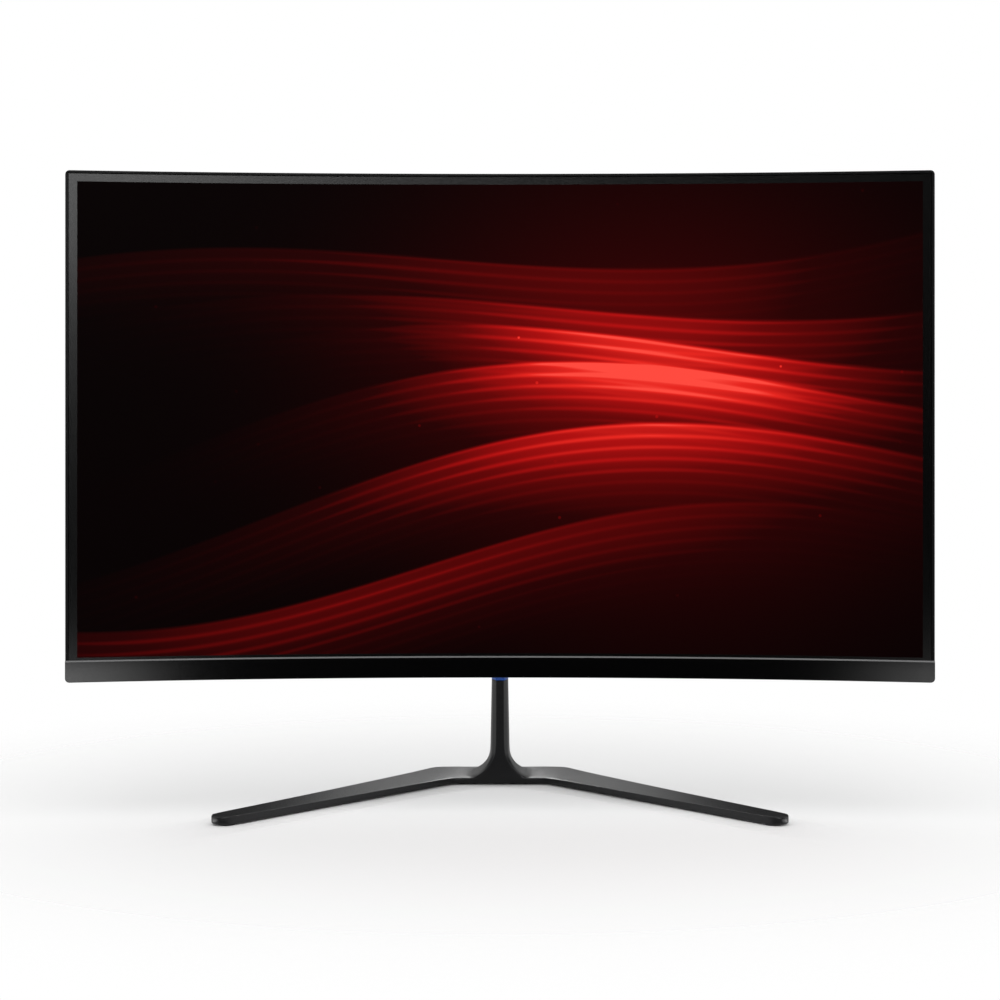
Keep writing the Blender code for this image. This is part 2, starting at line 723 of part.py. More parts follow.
def foot_pad_places():
    """Where the rubber pads sit: at the tips, half way along the legs and at the back of the hub."""
    inner = Vector((HUB_HALF_WIDTH, HUB_FRONT))
    half = LEG_LENGTH / 2
    half_width = (LEG_ROOT_WIDTH / 2 + LEG_TIP_RADIUS) / 2
    tip = inner + LEG_ALONG * LEG_LENGTH + LEG_ACROSS * LEG_TIP_RADIUS
    middle = inner + LEG_ALONG * half + LEG_ACROSS * half_width
    rear = Vector((HUB_HALF_WIDTH, HUB_FRONT + HUB_DEPTH - HUB_REAR_RADIUS / 2 - FOOT_PAD_RADIUS / 2))
    return {"tip": tip, "leg": middle, "hub": rear}


def build_stand():
    """The base casting with the lower neck, the collar, the upper neck and their fixings."""
    base = plate(base_outline(), BASE_THICKNESS, Matrix.Translation((0, 0, HUB_TOP - BASE_THICKNESS / 2)),
                 BASE_EDGE)
    join(base, flared_neck())
    cut(base, tongue_bar(CLEARANCE), neck_screw_hole(NECK_SCREW_LOW))
    pad_height = BASE_LIFT + FOOT_PAD_SEAT - CLEARANCE
    pad_profile = [
        (0.0, pad_height),
        (FOOT_PAD_RADIUS, pad_height),
        (FOOT_PAD_RADIUS, FOOT_PAD_CHAMFER),
        (FOOT_PAD_RADIUS - FOOT_PAD_CHAMFER, 0.0),
        (0.0, 0.0),
    ]
    for side, name in ((-1, "left"), (1, "right")):
        for place, point in foot_pad_places().items():
            seat = Vector((side * point.x, point.y, 0.0))
            roof = seat + Vector((0, 0, BASE_LIFT + FOOT_PAD_SEAT))
            cut(base, rod(FOOT_PAD_RADIUS + CLEARANCE, seat, roof, 12))
            finish(turned(pad_profile, seat, (0, 0, 1)), f"foot_pad_{name}_{place}", RUBBER)
    finish(base, "stand_base", STAND_BLACK)

    collar = neck_length(COLLAR_Z, COLLAR_TOP, 1)
    finish(cut(collar, tongue_bar(CLEARANCE)), "neck_collar", COLLAR_BLUE)

    arm = neck_length(COLLAR_TOP + CLEARANCE, HINGE_Z, 6)
    half = NECK_WIDTH_TOP / 2
    join(arm, rod(EYE_RADIUS, (-half, HINGE_Y, HINGE_Z), (half, HINGE_Y, HINGE_Z), 24))
    bore = rod(EYE_BORE, (-2 * half, HINGE_Y, HINGE_Z), (2 * half, HINGE_Y, HINGE_Z))
    cut(arm, bore, tongue_bar(CLEARANCE), neck_screw_hole(NECK_SCREW_HIGH))
    finish(arm, "neck_arm", STAND_BLACK)

    tongue = tongue_bar(0.0)
    for z, name in ((NECK_SCREW_LOW, "lower"), (NECK_SCREW_HIGH, "upper")):
        cut(tongue, neck_screw_hole(z))
        seat = tongue_point(z) + TONGUE_BACKWARD * (TONGUE_DEPTH / 2 + CLEARANCE / 2 + NECK_SCREW_WALL)
        reach = TONGUE_DEPTH / 2 + NECK_SCREW_WALL
        screw(seat, TONGUE_BACKWARD, reach, f"neck_screw_{name}", DARK_STEEL)
    finish(tongue, "neck_tongue", SHEET_STEEL)


# Tilt hinge


def bracket_screw_places():
    """Screw places on the hinge bracket, as (x, z)."""
    return [(x, HINGE_Z + z) for x in centred(BRACKET_SCREW_X) for z in centred(BRACKET_SCREW_Z)]


def build_hinge(head):
    """The bracket on the back of the head, the pin through the neck's eye and what clamps it."""
    bracket = slab(centred(BRACKET_WIDTH), (BRACKET_FRONT, BRACKET_BACK),
                   (HINGE_Z - BRACKET_HEIGHT / 2, HINGE_Z + BRACKET_HEIGHT / 2), BRACKET_SHEET)
    ear = [
        (BRACKET_FRONT + BRACKET_SHEET / 2, HINGE_Z - EAR_ROOT, 0.0),
        (HINGE_Y + WASHER_RADIUS, HINGE_Z - WASHER_RADIUS, EAR_CORNER),
        (HINGE_Y + WASHER_RADIUS, HINGE_Z + WASHER_RADIUS, EAR_CORNER),
        (BRACKET_FRONT + BRACKET_SHEET / 2, HINGE_Z + EAR_ROOT, 0.0),
    ]
    ear_middle = EAR_X + EAR_THICKNESS / 2
    join(bracket, *[plate(rounded(ear), EAR_THICKNESS, side_view(side * ear_middle)) for side in (-1, 1)])
    cut(bracket, rod(EYE_BORE, (-2 * EAR_OUT, HINGE_Y, HINGE_Z), (2 * EAR_OUT, HINGE_Y, HINGE_Z)))
    for x, z in bracket_screw_places():
        cut(bracket, rod(SCREW_HOLE, (x, BULGE_BACK, z), (x, BRACKET_BACK + CLEARANCE, z), 12))
    finish(bracket, "hinge_bracket", DARK_STEEL, head)

    washer = [
        (WASHER_RADIUS, WASHER_THICKNESS),
        (WASHER_RADIUS, 0.0),
        (EYE_BORE, 0.0),
        (EYE_BORE, WASHER_THICKNESS),
    ]
    for side, name in ((-1, "left"), (1, "right")):
        seat = (side * WASHER_X, HINGE_Y, HINGE_Z)
        finish(turned(washer, seat, (side, 0, 0), 20, True), f"hinge_washer_{name}", SHEET_STEEL, head)

    nut_face = EAR_OUT + 2 * CLEARANCE + SPRING_WASHER_HEIGHT
    end = nut_face + CLEARANCE + NUT_HEIGHT + PIN_RADIUS / 2
    head_face = -EAR_OUT - CLEARANCE
    pin = [
        (0.0, end - head_face),
        (PIN_RADIUS - PIN_CHAMFER, end - head_face),
        (PIN_RADIUS, end - head_face - PIN_CHAMFER),
        (PIN_RADIUS, 0.0),
        (PIN_HEAD_RADIUS, 0.0),
        (PIN_HEAD_RADIUS, PIN_CHAMFER - PIN_HEAD),
        (PIN_HEAD_RADIUS - PIN_CHAMFER, -PIN_HEAD),
        (0.0, -PIN_HEAD),
    ]
    finish(turned(pin, (head_face, HINGE_Y, HINGE_Z), (1, 0, 0), 16), "hinge_pin", DARK_STEEL, head)
    disc = [
        (EYE_BORE, SPRING_WASHER_HEIGHT),
        (WASHER_RADIUS, SPRING_WASHER_SHEET),
        (WASHER_RADIUS, 0.0),
        (EYE_BORE, SPRING_WASHER_HEIGHT - SPRING_WASHER_SHEET),
    ]
    place = (EAR_OUT + CLEARANCE, HINGE_Y, HINGE_Z)
    finish(turned(disc, place, (1, 0, 0), 20, True), "hinge_spring_washer", SHEET_STEEL, head)
    nut = rod(NUT_RADIUS, (nut_face, HINGE_Y, HINGE_Z), (nut_face + NUT_HEIGHT, HINGE_Y, HINGE_Z), 6)
    cut(nut, rod(EYE_BORE, (0, HINGE_Y, HINGE_Z), (nut_face + 2 * NUT_HEIGHT, HINGE_Y, HINGE_Z)))
    finish(nut, "hinge_nut", DARK_STEEL, head)

    for k, (x, z) in enumerate(bracket_screw_places(), 1):
        reach = BRACKET_BACK - PLATE_FRONT
        screw((x, BRACKET_BACK, z), (0, 1, 0), reach, f"hinge_screw_{k}", DARK_STEEL, head)

    def hood_profile(wall, spill):
        """The hood's side view, drawn in by a wall and spilling past its open front and bottom."""
        front = BRACKET_FRONT - spill
        top, back = HINGE_Z + HOOD_RISE - wall, HINGE_Y + HOOD_REACH - wall
        low = HINGE_Z - HOOD_DROP - spill
        return rounded([
            (front, low, 0.0),
            (back, HINGE_Z + PIN_RADIUS - spill, 0.0),
            (back, top, HOOD_ROUND - wall),
            (front, top, 0.0),
        ])

    hood = plate(hood_profile(0.0, 0.0), HOOD_WIDTH, side_view(0.0))
    hollow = plate(hood_profile(HOOD_WALL, BRACKET_HEIGHT), HOOD_WIDTH - 2 * HOOD_WALL, side_view(0.0))
    finish(cut(hood, hollow), "hinge_cover", MOULDED_BLACK, head)


# Screen and backlight


def ring_slab(x, y, z, border, corner):
    """A flat frame: a slab with a through opening that leaves a border."""
    through = (y[0] - border, y[1] + border)
    opening = slab((x[0] + border, x[1] - border), through, (z[0] + border, z[1] - border))
    return cut(slab(x, y, z, corner), opening)


def build_screen(head):
    """The frame, chin, panel and the backlight behind it, all on the curve of the screen."""
    wide = centred(HEAD_WIDTH)
    tall = (FRAME_BOTTOM, HEAD_TOP)
    frame = ring_slab(wide, layer(0.0, FRAME_DEPTH), tall, RIM_WIDTH, HEAD_CORNER)
    overlap = RIM_WIDTH / 2
    shelf = ring_slab((wide[0] + overlap, wide[1] - overlap), layer(LEDGE_FRONT, LEDGE_THICKNESS),
                      (tall[0] + overlap, tall[1] - overlap), LEDGE_WIDTH + overlap, HEAD_CORNER / 2)
    join(frame, shelf)
    chin_top = HEAD_BOTTOM + CHIN_HEIGHT
    cut(frame, slab(centred(2 * HEAD_WIDTH), (FRONT - FRAME_DEPTH, FRONT + PANEL_RECESS),
                    (HEAD_BOTTOM - CHIN_HEIGHT, chin_top + CLEARANCE)))
    finish(bend(frame), "front_frame", MOULDED_BLACK, head)

    chin = slab(wide, (FRONT - CHIN_PROUD, FRONT + FRAME_DEPTH), (HEAD_BOTTOM, chin_top + HEAD_CORNER),
                HEAD_CORNER)
    cut(chin, slab(centred(2 * HEAD_WIDTH), (FRONT - FRAME_DEPTH, FRONT + 2 * FRAME_DEPTH),
                   (chin_top, chin_top + 2 * HEAD_CORNER)))
    cut(chin, slab(centred(2 * HEAD_WIDTH), (FRONT + PANEL_RECESS - CLEARANCE, FRONT + 2 * FRAME_DEPTH),
                   (HEAD_BOTTOM + CHIN_FLOOR, chin_top + CHIN_HEIGHT)))
    bevel_tool = slab(centred(2 * HEAD_WIDTH), centred(2 * CHIN_CHAMFER), (0.0, 2 * CHIN_CHAMFER))
    corner = Vector((0.0, FRONT - CHIN_PROUD + CHIN_CHAMFER / 2, chin_top - CHIN_CHAMFER / 2))
    cut(chin, moved(bevel_tool, Matrix.Translation(corner) @ Matrix.Rotation(math.radians(45), 4, "X")))
    finish(bend(chin), "chin_bezel", GLOSS_BLACK, head)

    across = (-CHASSIS_SIDE, CHASSIS_SIDE)
    panel = slab(across, layer(PANEL_RECESS, PANEL_THICKNESS), (CHASSIS_BOTTOM, CHASSIS_TOP))
    finish(bend(panel), "lcd_panel", PANEL_GLASS, head)

    pan = slab(across, (FRONT + FILM_FRONT, FRONT + CHASSIS_BACK), (CHASSIS_BOTTOM, CHASSIS_TOP))
    inside = CHASSIS_SIDE - CHASSIS_SHEET
    low, high = CHASSIS_BOTTOM + CHASSIS_SHEET, CHASSIS_TOP - CHASSIS_SHEET
    cut(pan, slab((-inside, inside), (FRONT, FRONT + CHASSIS_FLOOR), (low, high)))
    bead_end = CHASSIS_SIDE - CHASSIS_BEAD_END
    bead_depth = (FRONT + CHASSIS_BACK - CHASSIS_SHEET / 2, FRONT + CHASSIS_BACK + CHASSIS_BEAD_RISE)
    for z in (HEAD_BOTTOM + CHASSIS_BEAD_LOW, HEAD_TOP - CHASSIS_BEAD_HIGH):
        bead = slab((-bead_end, bead_end), bead_depth,
                    (z - CHASSIS_BEAD_HEIGHT / 2, z + CHASSIS_BEAD_HEIGHT / 2), CHASSIS_BEAD_HEIGHT / 3, 2)
        join(pan, bead)
    finish(bend(pan), "backlight_chassis", SHEET_STEEL, head)

    fill = inside - CLEARANCE
    led_top = low + CLEARANCE + LED_STRIP + LED_HEIGHT
    sheets = (
        ("film_stack", FILM_FRONT, FILM_THICKNESS, low + CLEARANCE, FILM_WHITE),
        ("light_guide", GUIDE_FRONT, GUIDE_THICKNESS, led_top + CLEARANCE, GUIDE_CLEAR),
        ("reflector_sheet", REFLECTOR_FRONT, REFLECTOR_THICKNESS, low + CLEARANCE, FILM_WHITE),
    )
    for name, start, thickness, bottom, look in sheets:
        sheet = slab((-fill, fill), layer(start, thickness), (bottom, high - CLEARANCE))
        finish(bend(sheet), name, look, head)

    strip_low = low + CLEARANCE
    pitch = 2 * fill / LED_COUNT
    comb = [(fill, strip_low), (fill, strip_low + LED_STRIP)]
    for k in range(LED_COUNT):
        middle = fill - pitch * (k + 0.5)
        for step, height in ((0.5, 0.0), (0.5, LED_HEIGHT), (-0.5, LED_HEIGHT), (-0.5, 0.0)):
            comb.append((middle + step * LED_WIDTH, strip_low + LED_STRIP + height))
    comb += [(-fill, strip_low + LED_STRIP), (-fill, strip_low)]
    upright = Matrix.Translation((0, FRONT + GUIDE_FRONT + GUIDE_THICKNESS / 2, 0)) @ Matrix.Rotation(
        math.radians(90), 4, "X")
    finish(bend(plate(comb, GUIDE_THICKNESS, upright)), "led_bar", BOARD_GREEN, head)


# Rear cover


def shell_body(wall):
    """The curved part of the rear cover as a solid, drawn in by a wall for its hollow."""
    fall = math.hypot(COVER_SLOPE, COVER_DEPTH - COVER_EDGE)
    slope = (COVER_DEPTH - COVER_EDGE) / COVER_SLOPE
    edge = COVER_EDGE - wall * fall / COVER_SLOPE + wall * slope
    deep = COVER_DEPTH - wall
    start = FRAME_DEPTH + CLEARANCE - (COVER_WALL if wall else 0.0)
    inset = wall + (deep - edge) / slope
    wide, low, high = HEAD_WIDTH / 2 - wall, HEAD_BOTTOM + wall, HEAD_TOP - wall
    corner = max(HEAD_CORNER - wall, LEAST_CORNER)
    body = slab((-wide, wide), (FRONT + start, FRONT + edge), (low, high), corner, 3)
    bm = bmesh.new()
    bm.from_mesh(body.data)
    bpy.data.objects.remove(body, do_unlink=True)
    rear = [face for face in bm.faces if face.normal.y > 0.99]
    grown = bmesh.ops.extrude_face_region(bm, geom=rear)
    bmesh.ops.delete(bm, geom=rear, context="FACES_ONLY")
    span = inset - wall
    middle = (low + high) / 2
    for vert in [item for item in grown["geom"] if isinstance(item, bmesh.types.BMVert)]:
        vert.co.x *= 1 - span / wide
        vert.co.y = FRONT + deep
        vert.co.z = middle + (vert.co.z - middle) * (1 - span / ((high - low) / 2))
    if not wall:
        rounded_rim(bm, FRONT + edge, COVER_ROUND)
    return bend(solid("shell", bm))


def rounded_rim(bm, depth, radius):
    """Round the edges that lie at a depth behind the front."""
    rim = [edge for edge in bm.edges if all(abs(vert.co.y - depth) < MERGE for vert in edge.verts)]
    bmesh.ops.bevel(bm, geom=rim, offset=radius, segments=3, affect="EDGES", profile=0.5)


def bulge_body(wall):
    """The flat-backed bulge over the electronics as a solid, drawn in by a wall for its hollow."""
    half = BULGE_WIDTH / 2 - wall
    low, high = BULGE_BOTTOM + wall, BULGE_TOP - wall
    root = FRONT + BULGE_ROOT - (COVER_WALL if wall else 0.0)
    body = slab((-half, half), (root, BULGE_BACK - wall), (low, high), BULGE_CORNER - wall, 4)
    bm = bmesh.new()
    bm.from_mesh(body.data)
    rounded_rim(bm, BULGE_BACK - wall, BULGE_ROUND - wall)
    bm.to_mesh(body.data)
    bm.free()
    for vert in body.data.vertices:
        if vert.co.y > FRONT + COVER_DEPTH:
            share = (vert.co.z - low) / (high - low)
            vert.co.x *= 1 - BULGE_DRAFT / half
            vert.co.z += BULGE_FLOOR_DRAFT * (1 - share) - BULGE_DRAFT * share
    return body


def cover_screw_places():
    """Screw places in the corners of the bulge, as (x, z)."""
    x = SHIELD_SIDE - COVER_SCREW_INSET
    heights = (SHIELD_BOTTOM + COVER_SCREW_INSET, SHIELD_TOP - COVER_SCREW_INSET)
    return [(side * x, z) for side in (-1, 1) for z in heights]


def vesa_places():
    """The four mounting holes, as (x, z)."""
    return [(x, VESA_CENTRE + z) for x in centred(VESA_PITCH) for z in centred(VESA_PITCH)]


def build_cover(head, ports, control_place):
    """The rear cover, with its hollow, vents, port slots, screw bosses and control openings."""
    cover = join(shell_body(0.0), bulge_body(0.0))
    wall_middle = BULGE_BACK - COVER_WALL / 2
    pad_depth = (wall_middle, BULGE_BACK + PAD_RISE)
    join(cover, slab(centred(PAD_SIZE), pad_depth, (PAD_BOTTOM, PAD_TOP), PAD_CORNER))
    cut(cover, join(shell_body(COVER_WALL), bulge_body(COVER_WALL)))
    for x, z in cover_screw_places():
        boss = SCREW_HEAD_HOLE + COVER_WALL / 2
        join(cover, rod(boss, (x, SHIELD_BACK + CLEARANCE, z), (x, wall_middle, z), 12))
        cut(cover, rod(SCREW_HEAD_HOLE, (x, COVER_SCREW_SEAT, z), (x, BULGE_BACK + COVER_WALL, z), 12))
        cut(cover, rod(SCREW_HOLE, (x, FRONT, z), (x, BULGE_BACK, z), 12))
    for x, z in vesa_places():
        cut(cover, rod(VESA_BORE, (x, PLATE_FRONT, z), (x, BULGE_BACK + 2 * PAD_RISE, z), 12))
    for x, z in bracket_screw_places():
        cut(cover, rod(SCREW_HOLE, (x, PLATE_FRONT, z), (x, BRACKET_BACK, z), 12))
    vent_back = BULGE_BACK - COVER_WALL - BULGE_DRAFT / 2
    for k in range(VENT_COUNT):
        x = VENT_PITCH * (k - (VENT_COUNT - 1) / 2)
        cut(cover, slab((x - VENT_WIDTH / 2, x + VENT_WIDTH / 2), (vent_back - VENT_LENGTH, vent_back),
                        (BULGE_TOP - BULGE_DRAFT - 2 * COVER_WALL, BULGE_TOP + COVER_WALL)))
    for slot_x, slot_y in ports:
        cut(cover, slab(slot_x, slot_y, (BULGE_BOTTOM - COVER_WALL, SHIELD_BOTTOM)))
    x = BUTTON_OFFSET / 2
    for z in centred(CONTROL_POST_SPREAD):
        foot, top = (x, CLEARANCE - CONTROL_BOARD_DEPTH, z), (x, -COVER_WALL / 2, z)
        join(cover, moved(rod(CONTROL_POST_RADIUS, foot, top, 10), control_place))
    openings = ((0.0, STICK_HOLE), (BUTTON_OFFSET, BUTTON_RADIUS + HOLE_CLEARANCE))
    for x, radius in openings:
        hole = rod(radius, (x, -2 * COVER_WALL, 0), (x, 2 * COVER_WALL, 0), 24)
        cut(cover, moved(hole, control_place))
    finish(cover, "rear_cover", MOULDED_BLACK, head)

    for k, (x, z) in enumerate(cover_screw_places(), 1):
        reach = COVER_SCREW_SEAT - SHIELD_WALL + CLEARANCE
        screw((x, COVER_SCREW_SEAT, z), (0, 1, 0), reach, f"cover_screw_{k}", DARK_STEEL, head)


def build_mount(head):
    """The steel plate inside the bulge that carries the hinge screws and the mounting inserts."""
    half = VESA_PITCH / 2 + PLATE_MARGIN
    mount = slab((-half, half), (PLATE_FRONT, PLATE_BACK),
                 (HINGE_Z - BRACKET_HEIGHT / 2, VESA_CENTRE + half), PLATE_MARGIN / 3)
    for x, z in bracket_screw_places():
        cut(mount, rod(SCREW_HOLE, (x, FRONT, z), (x, BULGE_BACK, z), 12))
    sleeve = [
        (INSERT_RADIUS, PLATE_SHEET),
        (INSERT_RADIUS, -CLEARANCE),
        (INSERT_FLANGE, -CLEARANCE),
        (INSERT_FLANGE, -CLEARANCE - INSERT_FLANGE_THICKNESS),
        (INSERT_THREAD, -CLEARANCE - INSERT_FLANGE_THICKNESS),
        (INSERT_THREAD, PLATE_SHEET),
    ]
    for k, (x, z) in enumerate(vesa_places(), 1):
        cut(mount, rod(INSERT_RADIUS + CLEARANCE, (x, FRONT, z), (x, BULGE_BACK, z), 12))
        insert = turned(sleeve, (x, PLATE_FRONT, z), (0, 1, 0), 12, True)
        finish(insert, f"vesa_insert_{k}", SHEET_STEEL, head)
    finish(mount, "mount_plate", SHEET_STEEL, head)


# Electronics


def port_list():
    """The ports along the ledge: name, shell width, shell depth and the kind of mouth."""
    return [
        ("dc_jack", DC_JACK_WIDTH, DC_JACK_DEPTH, "barrel"),
        ("hdmi_port_1", HDMI_WIDTH, HDMI_DEPTH, "blade"),
        ("hdmi_port_2", HDMI_WIDTH, HDMI_DEPTH, "blade"),
        ("display_port", DISPLAY_WIDTH, DISPLAY_DEPTH, "blade"),
        ("audio_jack", AUDIO_WIDTH, AUDIO_DEPTH, "jack"),
    ]


def port_places():
    """Middle of each port in plan, with its front on the main board."""
    first = BOARD_LEFT + PORT_INSET
    return [(first + k * PORT_PITCH, BOARD_BACK + CLEARANCE + depth / 2)
            for k, (_, _, depth, _) in enumerate(port_list())]


def port_slots():
    """Limits in plan, x and y, of the openings that the ports reach through."""
    slots = []
    for (_, width, depth, _), (x, y) in zip(port_list(), port_places()):
        reach, room = width / 2 + HOLE_CLEARANCE, depth / 2 + HOLE_CLEARANCE
        slots.append(((x - reach, x + reach), (y - room, y + room)))
    return slots


def build_ports(head):
    """The sockets on the main board, which open downwards through the ledge of the rear cover."""
    low = BULGE_BOTTOM + BULGE_FLOOR_DRAFT + PORT_RECESS
    for (name, width, depth, kind), (x, y) in zip(port_list(), port_places()):
        body = slab((x - width / 2, x + width / 2), (y - depth / 2, y + depth / 2), (low, low + PORT_LENGTH))
        floor = low + PORT_MOUTH
        if kind == "blade":
            half, room = width / 2 - PORT_SHELL, depth / 2 - PORT_SHELL
            cut(body, slab((x - half, x + half), (y - room, y + room), (low - PORT_LENGTH, floor)))
            half -= PORT_TONGUE_INSET
            tongue = slab((x - half, x + half), (y - PORT_TONGUE / 2, y + PORT_TONGUE / 2),
                          (low + PORT_RECESS, floor + PORT_SHELL))
            join(body, tongue)
        else:
            bore = min(width, depth) / 2 - JACK_WALL
            cut(body, rod(bore, (x, y, low - PORT_LENGTH), (x, y, floor), 16))
        if kind == "barrel":
            join(body, rod(DC_PIN_RADIUS, (x, y, low + PORT_RECESS), (x, y, floor + PORT_SHELL), 10))
        finish(body, name, SHEET_STEEL if kind == "blade" else SWITCH_BLACK, head)


def build_electronics(head):
    """The shield, the main board on its standoffs, the panel driver board and the ribbon between them."""
    wall = SHIELD_SHEET
    over = FRONT - BULGE_DEPTH
    shield = slab((-SHIELD_SIDE, SHIELD_SIDE), (over, SHIELD_BACK), (SHIELD_BOTTOM, SHIELD_TOP))
    cut(shield, slab((wall - SHIELD_SIDE, SHIELD_SIDE - wall), (over - wall, SHIELD_WALL),
                     (SHIELD_BOTTOM + wall, SHIELD_TOP - wall)))
    front = FRONT + CHASSIS_BACK + CHASSIS_BEAD_RISE + CLEARANCE
    cut(shield, bend(slab(centred(HEAD_WIDTH), (over - BULGE_DEPTH, front), (HEAD_BOTTOM, HEAD_TOP))))
    notch_depth = (over, FRONT + SHIELD_NOTCH)
    notch = slab(centred(2 * (SHIELD_SIDE - SHIELD_NOTCH_MARGIN)), notch_depth,
                 (SHIELD_BOTTOM - wall, SHIELD_BOTTOM + 2 * wall))
    cable_gap = slab((SHIELD_SIDE - 2 * wall, SHIELD_SIDE + wall), notch_depth,
                     (SHIELD_BOTTOM + SHIELD_INSET, SHIELD_BOTTOM + 2 * SHIELD_INSET))
    cut(shield, notch, cable_gap)
    posts = [(x, z) for x in (BOARD_LEFT + STANDOFF_INSET, BOARD_RIGHT - STANDOFF_INSET)
             for z in (BOARD_BOTTOM + STANDOFF_LIFT, BOARD_TOP - STANDOFF_INSET)]
    for x, z in posts:
        join(shield, rod(STANDOFF_RADIUS, (x, BOARD_BACK + CLEARANCE, z), (x, SHIELD_WALL + wall / 2, z), 10))
    for x, z in cover_screw_places():
        cut(shield, rod(SCREW_HOLE, (x, SHIELD_WALL - wall, z), (x, BULGE_BACK, z), 12))
    for slot_x, slot_y in port_slots():
        cut(shield, slab(slot_x, slot_y, (SHIELD_BOTTOM - wall, SHIELD_BOTTOM + 2 * wall)))
    finish(shield, "board_shield", SHEET_STEEL, head)

    board_front = BOARD_BACK - BOARD_THICKNESS
    board = slab((BOARD_LEFT, BOARD_RIGHT), (board_front, BOARD_BACK), (BOARD_BOTTOM, BOARD_TOP))
    for along, up, size in CHIPS:
        x, z = BOARD_LEFT + along, BOARD_BOTTOM + up
        chip_depth = (BOARD_BACK - BOARD_THICKNESS / 2, BOARD_BACK + CHIP_HEIGHT)
        join(board, slab((x - size / 2, x + size / 2), chip_depth, (z - size / 2, z + size / 2)))
    finish(board, "main_board", BOARD_GREEN, head)

    low = HEAD_BOTTOM + DRIVER_LIFT
    start = CHASSIS_BACK + CLEARANCE
    driver = slab(centred(DRIVER_WIDTH), layer(start, BOARD_THICKNESS), (low, low + DRIVER_HEIGHT))
    socket = (RIBBON_X - RIBBON_WIDTH / 2 - BOARD_THICKNESS, RIBBON_X + RIBBON_WIDTH / 2 + BOARD_THICKNESS)
    join(driver, slab(socket, layer(start + BOARD_THICKNESS / 2, 2 * BOARD_THICKNESS),
                      (low + DRIVER_SOCKET, low + 2 * DRIVER_SOCKET)))
    finish(bend(driver), "panel_driver_board", BOARD_GREEN, head)

    ribbon_low = FRONT + start + BOARD_THICKNESS + RIBBON_THICKNESS + CLEARANCE
    seat = low + 2 * DRIVER_SOCKET + CLEARANCE
    high = board_front - CLEARANCE
    centre_line = [
        (ribbon_low, seat),
        (ribbon_low, SHIELD_BOTTOM - SHIELD_INSET / 2),
        (high - RIBBON_THICKNESS, SHIELD_BOTTOM + 3 * SHIELD_INSET),
        (high - RIBBON_THICKNESS, SHIELD_BOTTOM + 5 * SHIELD_INSET),
    ]
    outline = centre_line + [(y + RIBBON_THICKNESS, z) for y, z in reversed(centre_line)]
    finish(plate(outline, RIBBON_WIDTH, side_view(RIBBON_X)), "panel_cable", CABLE_GREY, head)


# Controls


def control_frame():
    """Frame of the controls: on the outer face of the cover, with +Y pointing out of it."""
    slope = (sag(CONTROL_X + CLEARANCE) - sag(CONTROL_X)) / CLEARANCE
    spot = Vector((CONTROL_X, FRONT + COVER_DEPTH + sag(CONTROL_X), HEAD_BOTTOM + CONTROL_LIFT))
    return Matrix.Translation(spot) @ Matrix.Rotation(math.atan(slope), 4, "Z")


